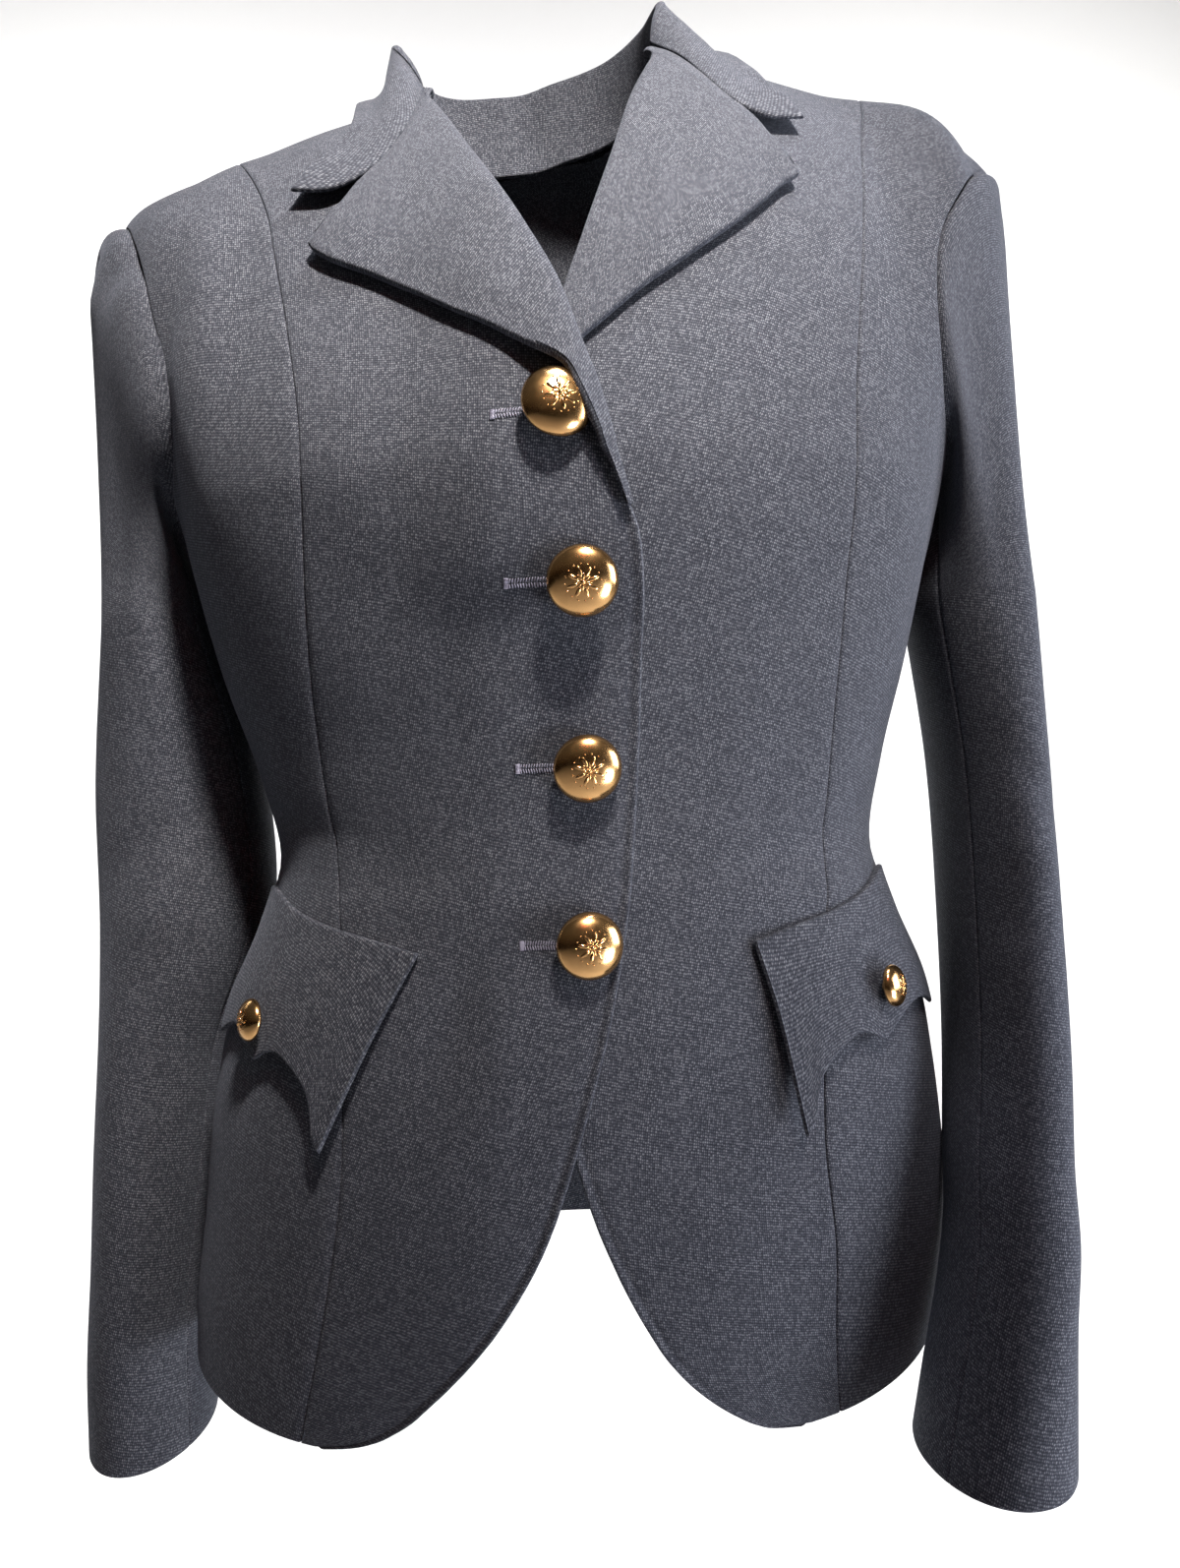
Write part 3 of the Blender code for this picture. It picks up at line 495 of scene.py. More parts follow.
# Soft folds of the bodice: front or back, x and z at both ends, width, height out
FOLDS = (
    ("front", 0.158, -0.020, 0.166, -0.150, 0.0085, 0.0030),
    ("front", 0.166, -0.150, 0.163, -0.255, 0.0100, 0.0022),
    ("front", 0.178, -0.050, 0.181, -0.170, 0.0080, -0.0040),
    ("front", 0.130, -0.040, 0.139, -0.150, 0.0140, -0.0012),
    ("front", -0.168, -0.090, -0.166, -0.215, 0.0100, -0.0030),
    ("front", -0.150, -0.085, -0.148, -0.235, 0.0130, 0.0016),
    ("front", -0.120, -0.215, -0.075, -0.275, 0.0150, -0.0010),
    ("front", 0.118, -0.235, 0.072, -0.290, 0.0160, -0.0010),
    ("front", -0.132, -0.345, -0.070, -0.360, 0.0075, -0.0012),
    ("front", -0.125, -0.378, -0.060, -0.372, 0.0080, -0.0010),
    ("front", 0.132, -0.350, 0.074, -0.362, 0.0080, -0.0012),
    ("front", 0.060, -0.382, 0.118, -0.390, 0.0090, 0.0009),
    ("front", -0.052, -0.262, -0.048, -0.335, 0.0090, -0.0006),
    ("front", -0.048, -0.400, -0.055, -0.450, 0.0120, -0.0016),
    ("front", -0.070, -0.470, -0.060, -0.560, 0.0200, 0.0012),
    ("front", 0.060, -0.480, 0.052, -0.560, 0.0200, 0.0012),
    ("front", 0.030, -0.300, 0.034, -0.400, 0.0140, -0.0007),
    ("back", -0.120, -0.345, -0.030, -0.358, 0.0085, -0.0018),
    ("back", 0.122, -0.350, 0.040, -0.366, 0.0095, -0.0020),
    ("back", -0.090, -0.378, 0.010, -0.384, 0.0090, 0.0012),
    ("back", 0.020, -0.335, 0.100, -0.322, 0.0080, 0.0010),
    ("back", -0.140, -0.080, -0.128, -0.215, 0.0120, 0.0022),
    ("back", 0.143, -0.070, 0.130, -0.220, 0.0130, 0.0024),
    ("back", -0.158, -0.110, -0.150, -0.235, 0.0100, -0.0026),
    ("back", 0.160, -0.105, 0.152, -0.230, 0.0100, -0.0026),
    ("back", -0.060, -0.430, -0.072, -0.560, 0.0220, 0.0016),
    ("back", 0.066, -0.425, 0.080, -0.565, 0.0230, 0.0017),
)
TURN_SPAN = 0.23


def folded(turn, z):
    """How far the soft folds move the cloth out at these places."""
    out = np.zeros(np.shape(turn))
    for side, x0, z0, x1, z1, wide, high in FOLDS:
        ends = []
        for x, z_end in ((x0, z0), (x1, z1)):
            t, _ = place(x, z_end, side == "back")
            ends.append((float(t) * TURN_SPAN, z_end))
        (a, b), (c, d) = ends
        length = (c - a) ** 2 + (d - b) ** 2
        s = ((turn * TURN_SPAN - a) * (c - a) + (z - b) * (d - b)) / length
        near = np.clip(s, 0, 1)
        off = np.hypot(turn * TURN_SPAN - a - near * (c - a), z - b - near * (d - b))
        soft = 1 - 0.75 * np.abs(2 * near - 1) ** 2.5
        out = out + high * soft * np.exp(-(off / wide) ** 2)
    return out


def along(grid, axis):
    """Length from the first line of a grid, measured over the surface."""
    step = np.linalg.norm(np.diff(grid, axis=axis), axis=-1)
    start = np.zeros_like(np.take(step, [0], axis))
    return np.cumsum(np.concatenate([start, step], axis), axis)


# Radius of the cloth's edge where it is sewn and where it is free, and the 45 degree point of such a round
SEWN_ROUND = 0.0009
FREE_ROUND = 0.00105
ROUND_MIDDLE = 0.29


def rounded(outer, inner, side, radius, both):
    """Adds lines that turn one border over: the outer face alone at a seam, both faces at a free edge."""
    if side in ("foot", "top"):
        same = "left" if side == "foot" else "right"
        found = rounded(outer.swapaxes(0, 1), inner.swapaxes(0, 1), same, radius, both)
        return tuple(g.swapaxes(0, 1) for g in found)
    if side == "right":
        found = rounded(outer[:, ::-1], inner[:, ::-1], "left", radius, both)
        return tuple(g[:, ::-1] for g in found)
    out = outer[:, :1] - inner[:, :1]
    thick = np.linalg.norm(out, axis=-1, keepdims=True)
    out = out / thick
    most = np.minimum(np.maximum(radius, thick * 0.45), thick * (0.47 if both else 0.8))
    in_way = unit(outer[:, 1:2] - outer[:, :1])
    lines = []
    for grid, face in ((outer, -1), (inner, 1)):
        drop = most if face < 0 or both else 0
        edge = grid[:, :1]
        first = edge + out * face * drop
        second = edge + out * face * drop * ROUND_MIDDLE + in_way * radius * ROUND_MIDDLE
        third = edge + in_way * radius
        lines.append(np.concatenate([first, second, third, grid[:, 1:]], 1))
    return tuple(lines)


def pull_in(grid, sides, gap=SEAM_GAP * 0.6):
    """Moves the named border lines of a grid inwards by half a seam gap."""
    grid = grid.copy()
    for side in sides:
        edge, near = {"left": ((slice(None), 0), (slice(None), 1)),
                      "right": ((slice(None), -1), (slice(None), -2)),
                      "foot": (0, 1),
                      "top": (-1, -2)}[side]
        grid[edge] = grid[edge] + unit(grid[near] - grid[edge]) * gap
    return grid


def grid_mesh(outer, inner):
    """Closed shell from two equal grids: points and four-sided faces."""
    rows, cols = outer.shape[:2]
    points = np.concatenate([outer.reshape(-1, 3), inner.reshape(-1, 3)])
    at = np.arange(rows * cols).reshape(rows, cols)
    more = rows * cols
    quads = np.stack([at[:-1, :-1], at[:-1, 1:], at[1:, 1:], at[1:, :-1]], -1).reshape(-1, 4)
    faces = np.concatenate([quads, quads[:, [0, 3, 2, 1]] + more]).tolist()
    border = [(at[0, j], at[0, j + 1]) for j in range(cols - 1)]
    border += [(at[i, -1], at[i + 1, -1]) for i in range(rows - 1)]
    border += [(at[-1, j + 1], at[-1, j]) for j in range(cols - 1)]
    border += [(at[i + 1, 0], at[i, 0]) for i in range(rows - 1)]
    faces += [[int(b), int(a), int(a) + more, int(b) + more] for a, b in border]
    return points, faces


def cloth_piece(solid, outer, inner, turned, sewn):
    name = "cloth_" + solid
    for side in sewn:
        outer, inner = rounded(outer, inner, side, SEWN_ROUND, False)
    for side in turned:
        outer, inner = rounded(outer, inner, side, FREE_ROUND, True)
    across_m = along(outer, 1)
    down_m = along(outer, 0)
    middle = across_m.shape[1] // 2
    upward = np.sign((outer[-1] - outer[0])[:, 2].sum())
    run = np.cross(outer[:-1, 1:] - outer[:-1, :-1], outer[1:, :-1] - outer[:-1, :-1])
    hand = np.sign((run * (outer - inner)[:-1, :-1]).sum()) * upward
    u = (across_m - across_m[:, middle:middle + 1]) * hand
    v = np.repeat(down_m[:, middle:middle + 1], outer.shape[1], 1) * upward
    points, faces = grid_mesh(outer, inner)
    mesh = bpy.data.meshes.new(name)
    mesh.from_pydata([tuple(p) for p in points], [], faces)
    work = bmesh.new()
    work.from_mesh(mesh)
    bmesh.ops.recalc_face_normals(work, faces=work.faces)
    work.to_mesh(mesh)
    work.free()
    threads = mesh.uv_layers.new(name="threads")
    flat_u = np.concatenate([u.ravel(), u.ravel()])
    flat_v = np.concatenate([v.ravel(), v.ravel()])
    corner = np.empty(len(mesh.loops), np.int32)
    mesh.loops.foreach_get("vertex_index", corner)
    threads.data.foreach_set("uv", np.stack([flat_u[corner], flat_v[corner]], -1).ravel())
    mesh.shade_smooth()
    mesh.materials.append(WOOL)
    made = new_object(name, mesh)
    wide = float(across_m[:, -1].max())
    long = float(down_m[-1].max())
    wide, long = round(wide, 3), round(long, 3)
    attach(made, "root")
    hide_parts(solid)


# Wool twill: blue-grey melange, dark ground and pale fibres, matt with a short nap
# Its lines are a little over 1 mm apart and fall 13 degrees to the right; each float is a short dash
TWILL_MM = 1.15
FLOAT_MM = 0.85
TWILL_SLANT = 13


def wool_twill(name, deep, ground, thread, fibre):
    """Milled worsted, dyed in the fibre: each float shows its own mix of dark, blue and pale hairs. Each float
    is also painted lighter in its middle and darker at its edges: painted shade in the grooves between floats.
    """
    made, tree, shader = finish_of(name)
    lay = node(tree, "ShaderNodeUVMap", {"uv_map": "threads"}).outputs["UV"]
    mm = node(tree, "ShaderNodeMapping", {"Scale": (1000, 1000, 1000)}, Vector=lay).outputs["Vector"]
    slant = node(tree, "ShaderNodeMapping", {"Rotation": (0, 0, math.radians(TWILL_SLANT))}, Vector=mm)
    rows = node(tree, "ShaderNodeMapping", {"Scale": (1 / FLOAT_MM, 1 / TWILL_MM, 1)},
                Vector=slant.outputs["Vector"]).outputs["Vector"]
    float_cell = node(tree, "ShaderNodeTexVoronoi",
                      {"voronoi_dimensions": "2D", "Scale": 1.0, "Randomness": 0.28}, Vector=rows)
    fine = node(tree, "ShaderNodeTexNoise", {"Scale": 1.7, "Detail": 2.0}, Vector=mm).outputs["Fac"]
    cloud = node(tree, "ShaderNodeTexNoise", {"Scale": 0.05, "Detail": 4.0, "Roughness": 0.6}, Vector=mm)
    pick = node(tree, "ShaderNodeSeparateColor", {}, Color=float_cell.outputs["Color"]).outputs["Red"]
    # dome is each float's raised height, for the bump; added into the colour too, it is painted shade,
    # darkening the float edges.
    dome = node(tree, "ShaderNodeMath", {"operation": "MULTIPLY_ADD", 1: -1.0, 2: 0.76},
                _0=float_cell.outputs["Distance"]).outputs["Value"]
    fibre_tone_and_float_shade = node(tree, "ShaderNodeMath", {"operation": "MULTIPLY_ADD", 1: 0.30}, _0=pick, _2=dome)
    tone = node(tree, "ShaderNodeMath", {"operation": "MULTIPLY_ADD", 1: 0.50},
                _0=fine, _2=fibre_tone_and_float_shade.outputs["Value"])
    level = node(tree, "ShaderNodeMath", {"operation": "SUBTRACT", 1: 0.30}, _0=tone.outputs["Value"])
    ramp = node(tree, "ShaderNodeValToRGB", {}, Fac=level.outputs["Value"])
    stops = ramp.color_ramp.elements
    stops[0].position = 0.12
    stops[0].color = linear(deep)
    stops[1].position = 0.90
    stops[1].color = linear(fibre)
    for at, tint in ((0.40, ground), (0.64, thread)):
        stops.new(at).color = linear(tint)
    cast = node(tree, "ShaderNodeMath", {"operation": "MULTIPLY_ADD", 1: 0.36, 2: 0.82},
                _0=cloud.outputs["Fac"])
    coloured = node(tree, "ShaderNodeVectorMath", {"operation": "SCALE"}, _0=ramp.outputs["Color"],
                    Scale=cast.outputs["Value"])
    raise_up = node(tree, "ShaderNodeBump", {"Strength": 0.30, "Distance": 0.00015}, Height=dome)
    tree.links.new(coloured.outputs["Vector"], shader.inputs["Base Color"])
    tree.links.new(raise_up.outputs["Normal"], shader.inputs["Normal"])
    shader.inputs["Roughness"].default_value = 0.90
    shader.inputs["Specular IOR Level"].default_value = 0.20
    shader.inputs["Sheen Weight"].default_value = 0.08
    shader.inputs["Sheen Roughness"].default_value = 0.55
    shader.inputs["Sheen Tint"].default_value = linear("#c3cde0")
    return made


WOOL = wool_twill("wool_twill_blue_grey", "#17191e", "#2a2c33", "#404248", "#737579")

# Torso panels: name, columns, sewn borders, turned borders
PANELS = (
    ("front_right", 46, ("right", "top"), ("left", "foot")),
    ("front_left", 46, ("right", "top"), ("left", "foot")),
    ("side_front_right", 26, ("left", "right", "top"), ("foot",)),
    ("side_front_left", 26, ("left", "right", "top"), ("foot",)),
    ("side_back_right", 26, ("left", "right", "top"), ("foot",)),
    ("side_back_left", 26, ("left", "right", "top"), ("foot",)),
    ("back_right", 30, ("left", "right", "top"), ("foot",)),
    ("back_left", 30, ("left", "right", "top"), ("foot",)),
)

# Pressed front edge, a low welt with a hollow behind it: distance in, width, height out
WELT = ((0.0013, 0.0011, 0.0005), (0.0042, 0.0013, -0.0005))

# The front's cloth turns back at the roll, so its own border stops this far inside it, from here up
ROLL_HALF = 0.0030
ROLL_START = {-1: -0.235, 1: -0.168}

# Turn that a metre across the front takes
TURN_PER_METRE = 4.6


def panel_lines(name, count):
    """Turns and rows of one bodice panel, from its seams and edges."""
    side = -1 if name.endswith("right") else 1
    reach_front, reach_back = limits(ROWS, side)
    princess = seam_turn(ROWS, lambda z: table(PRINCESS, 1, z))
    behind = seam_turn(ROWS, lambda z: table(PRINCESS, 2, z), back=True)
    row = np.repeat(ROWS[:, None], count, 1)
    if name.startswith("front"):
        roll_in = ROLL_HALF * ease(ROLL_START[side] - 0.010, ROLL_START[side] + 0.012, ROWS)
        edge = seam_turn(ROWS, lambda z: -side * table(EDGE, 1 if side < 0 else 2, z))
        edge = edge + side * roll_in * TURN_PER_METRE
        share = np.linspace(0, 1, count) ** 1.6
        return edge[:, None] * (1 - share) + (side * princess)[:, None] * share, row
    if name.startswith("side_front"):
        return across(side * princess, side * reach_front, count), row
    if name.startswith("side_back"):
        return across(side * reach_back, side * behind, count), row
    turn = across(side * behind, np.full(len(ROWS), side * 2.0), count)
    v = np.maximum(row - ARMPIT_Z, 0)
    x = np.abs(bodice(turn, row)[..., 0])
    low = 1 - 0.075 * ease(0.072, 0.030, x) * ease(0.3, 1, v)
    return turn, np.where(v > 0, ARMPIT_Z + v * low, row)


for name, count, sewn, turned in PANELS:
    turn, row = panel_lines(name, count)
    plain = bodice(turn, row)
    out = normals(turn, row)
    lift = folded(turn, plain[..., 2])
    if name == "front_right":
        lift = lift + overlap(plain[..., 0], plain[..., 2])
    if name.startswith("front"):
        for at, wide, high in WELT:
            lift = lift + high * np.exp(-((along(plain, 1) - at) / wide) ** 2)
    outer = plain + out * lift[..., None]
    inner = outer - out * CLOTH
    outer, inner = pull_in(worn(outer), sewn), worn(inner)
    cloth_piece(name, outer, inner, turned, sewn)


# Lapels
# The facing of each front, turned back over it along a soft roll, with a peaked end at the notch.
# Faced and pressed, so the edge is thick and round and stands a little off the front below.

# Lapel rows of the upper front: roll z, edge x, edge z
LAPEL_RIGHT = (
    (-0.004, -0.1082, -0.1059),
    (-0.022, -0.1035, -0.1100),
    (-0.042, -0.0960, -0.1160),
    (-0.062, -0.0800, -0.1260),
    (-0.085, -0.0650, -0.1385),
    (-0.108, -0.0500, -0.1540),
    (-0.128, -0.0365, -0.1665),
    (-0.148, -0.0230, -0.1788),
    (-0.168, -0.0101, -0.1902),
    (-0.188, -0.0032, -0.2029),
    (-0.206, 0.0025, -0.2142),
    (-0.220, 0.0071, -0.2237),
    (-0.235, 0.0122, -0.2350),
)

# Lapel rows of the lower front, x turned over
LAPEL_LEFT = (
    (-0.004, -0.0896, -0.1076),
    (-0.022, -0.0810, -0.1122),
    (-0.042, -0.0715, -0.1215),
    (-0.062, -0.0560, -0.1340),
    (-0.082, -0.0370, -0.1460),
    (-0.102, -0.0189, -0.1562),
    (-0.120, -0.0050, -0.1658),
    (-0.137, 0.0040, -0.1725),
    (-0.154, 0.0082, -0.1800),
    (-0.170, 0.0108, -0.1890),
)

# Gorge seam from the roll line by the notch to the lapel tip, wearer's right then left turned over
GORGE_RIGHT = (
    (0.00, -0.0553, -0.0040),
    (0.30, -0.0620, -0.0300),
    (0.55, -0.0725, -0.0549),
    (0.80, -0.0920, -0.0835),
    (1.00, -0.1082, -0.1059),
)
GORGE_LEFT = (
    (0.00, -0.0500, -0.0040),
    (0.30, -0.0560, -0.0320),
    (0.55, -0.0625, -0.0560),
    (0.80, -0.0740, -0.0790),
    (1.00, -0.0896, -0.1076),
)


def gorge(side, s):
    """x and z along the gorge seam line, for the wearer's right or left, x as on the right."""
    rows = GORGE_RIGHT if side < 0 else GORGE_LEFT
    return table(rows, 1, s), table(rows, 2, s)


# Grid of one lapel, how far it stands off the front, and the notch's place along the gorge
LAPEL_ROWS = 90
LAPEL_COLUMNS = 46
LAPEL_STAND = 0.0032
LAPEL_SPRING = 0.0042
NOTCH = 0.78

# The upper lapel rises over the first button: place along the lapel, length of the rise, height
RISE_AT = 0.71
RISE_LONG = 0.13
RISE_HIGH = 0.0066


def lapel(side):
    """Face of one turned-back lapel, standing off the front it lies on."""
    chosen = LAPEL_RIGHT if side < 0 else LAPEL_LEFT
    tagged = [(i / (len(chosen) - 1),) + r for i, r in enumerate(chosen)]
    q = np.linspace(0, 1, LAPEL_ROWS)
    roll_z = table(tagged, 1, q)
    roll_x = table(EDGE, 1 if side < 0 else 2, roll_z)
    edge_x = table(tagged, 2, q)
    edge_z = table(tagged, 3, q)
    s = np.linspace(0, 1, LAPEL_COLUMNS)
    x = roll_x[:, None] * (1 - s) + edge_x[:, None] * s
    z = roll_z[:, None] * (1 - s) + edge_z[:, None] * s
    # The upper third bends up to meet the gorge seam
    top_x, top_z = gorge(side, s)
    bend = (np.clip(1 - q / 0.3, 0, 1) ** 1.5)[:, None]
    x, z = x + (top_x - x[0]) * bend, z + (top_z - z[0]) * bend
    x = x if side < 0 else -x
    turn, row = place(x, z)
    stand = LAPEL_STAND + LAPEL_SPRING * s ** 0.8 * (1 - 0.5 * q[:, None])
    if side < 0:
        stand = stand + overlap(x, z)
        stand = stand + RISE_HIGH * s * np.exp(-((q[:, None] - RISE_AT) / RISE_LONG) ** 2)
    face = bodice(turn, row) + normals(turn, row) * stand[..., None]
    return pull_in(face, ("foot",), SEAM_GAP * 1.5)


def sheet_normals(grid, toward):
    """Normals of a grid, all on the side of the given directions."""
    n = unit(np.cross(np.gradient(grid, axis=1), np.gradient(grid, axis=0)))
    return n if (n * toward).sum() > 0 else -n


# Steps of the cloth's round under the roll
UNDER_STEPS = 8


def rolled(outer, soft):
    """Turns the lapel's cloth over the front's border: a soft shoulder on top, then round and under."""
    rows, cols = outer.shape[:2]
    across_m = along(outer, 1)
    full = across_m[:, -1:]
    half = np.minimum(ROLL_HALF, full * 0.30)
    share = np.linspace(0, 1, cols) ** 1.35
    want = full * share
    at = np.stack([np.stack([np.interp(want[i], across_m[i], outer[i, :, k]) for k in range(3)], -1)
                   for i in range(rows)])
    away = sheet_normals(at, np.array((0, -1, 0)))
    reach = np.minimum(soft[:, None], full * 0.8)
    near = np.clip(1 - want / reach, 0, 1)
    at = at - away * (half * (1 - np.sqrt(np.maximum(1 - near ** 2, 0))))[..., None]
    in_way = at[:, 6:7] - at[:, :1]
    in_way = unit(in_way - away[:, :1] * (in_way * away[:, :1]).sum(-1, keepdims=True))
    b = np.linspace(math.pi / 2, 0, UNDER_STEPS + 1)[:-1][None, :, None]
    under = (at[:, :1] + in_way * half[..., None] * (1 - np.cos(b))
             - away[:, :1] * half[..., None] * np.sin(b))
    return np.concatenate([under, at], 1)


# Reach of the soft shoulder of the roll, from the gorge to the lapel's foot, right then left
SOFT_ROLL = {-1: (0.006, 0.008, 0.011, 0.010, 0.006, 0.003), 1: (0.005, 0.006, 0.007, 0.007, 0.005, 0.003)}

# Pressed edge: its thickness, how far and how wide it is laid down, and the round of the point
EDGE_THICK = 0.0036
EDGE_DROP = 0.0012
EDGE_LAID = 0.010
CORNER = 0.0034

# How far the top goes in under the collar, how far down, and over what length it fades
TUCK = 0.0040
TUCK_DOWN = 0.0012
TUCK_LONG = 0.0020

# Widths over which the cloth thins from its edge to the roll, and in the narrow end of the lapel
THIN_REACH = 0.016
FULL_WIDTH = 0.020


def pressed(grid, out):
    """Rounds the lapel's point, tucks its top under the collar, and lays the edge down."""
    across_m = along(grid, 1)
    down_m = along(grid, 0)
    from_edge = across_m[:, -1:] - across_m
    corner = np.exp(-(from_edge / CORNER) ** 2 - (down_m / CORNER) ** 2)
    inward = unit(grid[12, -14] - grid[0, -1])
    grid = grid + inward * (corner * CORNER * 0.42)[..., None]
    share = across_m / across_m[:, -1:]
    tucked = ease(NOTCH + 0.04, NOTCH - 0.05, share) * np.exp(-down_m / TUCK_LONG)
    upward = unit(grid[0] - grid[3])
    grid = grid + (upward * TUCK - out[:1] * TUCK_DOWN) * tucked[..., None]
    laid = np.exp(-(from_edge / EDGE_LAID) ** 2) * (1 - tucked)
    return grid - out * (laid * EDGE_DROP)[..., None]


FRONTWARDS = np.array((0, -1, 0))
for side, label in ((-1, "right"), (1, "left")):
    face = lapel(side)
    face = pressed(face, sheet_normals(face, FRONTWARDS))
    soft = np.interp(np.linspace(0, 1, LAPEL_ROWS), np.linspace(0, 1, 6), SOFT_ROLL[side])
    face = rolled(face, soft)
    across_m = along(face, 1)
    full = across_m[:, -1:]
    free = np.clip(1 - (full - across_m) / np.minimum(THIN_REACH, full * 0.6), 0, 1)
    thick = (CLOTH + (EDGE_THICK - CLOTH) * free ** 0.7) * np.clip(full / FULL_WIDTH, 0.35, 1)
    inner = face - sheet_normals(face, FRONTWARDS) * thick[..., None]
    cloth_piece("lapel_" + label, worn(face), worn(inner), ("right", "foot"), ("top",))


# Collar
# One folded collar: a stand round the neck and a fall turned down over it, sewn to the lapels at the gorge.
# Its ends are the short upper points of the notches.
COLLAR_TIPS = ((-0.1153, -0.0763), (-0.0966, -0.0742))

# Columns of half the collar, and how far its fall stands off the panels: first column, last column, distance
COLLAR_COLUMNS = 13
FALL_STAND = ((1, 3, 0.0026), (3, 4, 0.0034), (4, 6, 0.0048), (6, 13, 0.0029))

# Rows of the fall, the notch's place along its front line, and the cloth's round inside the fold
FALL_ROWS = 6
NOTCH_SHARE = 0.7
FOLD_ROUND = 0.0006

# Collar stations from the gorge to the centre back: place, fold, outer edge, stand foot
COLLAR = (
    (0.00, (0.0530, -0.046, -0.0040), (0.1090, -0.079, -0.0760), (0.0500, -0.044, -0.0120)),
    (0.06, (0.0550, -0.038, 0.0050), (0.1030, -0.068, -0.0590), (0.0528, -0.036, -0.0060)),
    (0.13, (0.0582, -0.028, 0.0150), (0.0960, -0.058, -0.0455), (0.0562, -0.026, 0.0000)),
    (0.20, (0.0620, -0.018, 0.0240), (0.0900, -0.046, -0.0330), (0.0605, -0.016, 0.0030)),
    (0.30, (0.0635, -0.006, 0.0305), (0.0830, 0.000, -0.0060), (0.0628, -0.006, 0.0080)),
    (0.50, (0.0600, 0.024, 0.0365), (0.0770, 0.042, -0.0120), (0.0590, 0.023, 0.0082)),
    (0.75, (0.0400, 0.051, 0.0375), (0.0500, 0.068, -0.0170), (0.0400, 0.050, 0.0020)),
    (1.00, (0.0000, 0.063, 0.0380), (0.0000, 0.080, -0.0190), (0.0000, 0.061, 0.0010)),
)


def push_out(points, least):
    """Moves points out of the panels' form to at least this far above its surface."""
    turn, v = np.meshgrid(np.linspace(-2, 2, 401), np.linspace(0.3, 1, 141))
    form = bodice(turn, ARMPIT_Z + v).reshape(-1, 3)
    away = normals(turn, ARMPIT_Z + v).reshape(-1, 3)
    points = points.copy()
    flat = points.reshape(-1, 3)
    for _ in range(3):
        for i, p in enumerate(flat):
            near = np.argmin(((form - p) ** 2).sum(1))
            high = (p - form[near]) @ away[near]
            if high < least:
                flat[i] = p + away[near] * (least - high)
    return flat.reshape(points.shape)


def collar_front(side, s):
    """Front line of the fall: along the gorge to the notch, then out to the collar tip."""
    tip_x, tip_z = COLLAR_TIPS[0 if side < 0 else 1]
    x, z = gorge(side, np.minimum(s / NOTCH_SHARE, 1) * NOTCH)
    out = np.clip((s - NOTCH_SHARE) / (1 - NOTCH_SHARE), 0, 1)
    x, z = x + (tip_x - x) * out, z + (tip_z - z) * out
    turn, row = place(x if side < 0 else -x, z + 0.0013)
    stand = 0.0036 + 0.0040 * s
    return bodice(turn, row) + normals(turn, row) * stand[..., None]


def collar_half(side):
    """Visible face of half the collar, from its front end to the centre back."""
    c = np.linspace(0, 1, COLLAR_COLUMNS) ** 1.15
    lines = []
    for part in (1, 2, 3):
        rows = [(r[0],) + r[part] for r in COLLAR]
        line = np.stack([table(rows, k, c) for k in (1, 2, 3)], -1)
        line[:, 0] *= side
        lines.append(line)
    fold, edge, foot = lines
    front = collar_front(side, np.linspace(0, 1, FALL_ROWS))
    near = (np.clip(1 - c / 0.30, 0, 1) ** 1.6)[:, None]
    fold = fold + (front[0] + (0, 0.0025, 0.0020) - fold[0]) * near
    foot = foot + (front[0] + (0, 0.0040, -0.0045) - foot[0]) * near
    run = np.gradient(fold, axis=0)
    out = unit(np.stack([run[:, 1], -run[:, 0], np.zeros(COLLAR_COLUMNS)], -1))
    out *= np.sign((out * (fold - (0, 0.01, 0))).sum(-1, keepdims=True))
    half = CLOTH + FOLD_ROUND
    up = np.array((0.0, 0.0, 1.0))
    rows = [foot - out * half, (foot + fold) / 2 - out * half, fold - out * half - up * 0.003,
            fold - out * half * 0.7 - up * 0.0009, fold, fold + out * half * 0.7 - up * 0.0009]
    start = fold + out * half - up * 0.003
    bend = start * 0.45 + edge * 0.55 - up * 0.004
    slant = np.stack([start * (1 - s) ** 2 + bend * 2 * s * (1 - s) + edge * s * s
                      for s in np.linspace(0, 1, FALL_ROWS)])
    slant = slant + (front - slant[:, 0])[:, None] * near
    for first, last, stand in FALL_STAND:
        slant[:, first:last] = push_out(slant[:, first:last], CLOTH + stand)
    return np.concatenate([np.stack(rows), slant])


def smooth_grid(grid, steps):
    """The same grid with more lines between, on smooth curves through its points."""
    for axis in (0, 1):
        grid = np.moveaxis(grid, axis, 0)
        count = len(grid)
        at = np.linspace(0, count - 1, (count - 1) * steps + 1)
        i = np.clip(at.astype(int), 0, count - 2)
        s = (at - i)[:, None, None]
        slope = np.gradient(grid, axis=0)
        grid = (grid[i] * (1 + 2 * s) * (1 - s) ** 2 + grid[i + 1] * s * s * (3 - 2 * s)
                + slope[i] * s * (1 - s) ** 2 - slope[i + 1] * s * s * (1 - s))
        grid = np.moveaxis(grid, 0, axis)
    return grid


# The stand goes down inside the panels, most of all behind the neck: least share of a row, and the rest
FOOT_LEAST = 0.04
FOOT_BEHIND = 0.36
STAND_ROWS = 6
COLLAR_STEPS = 4

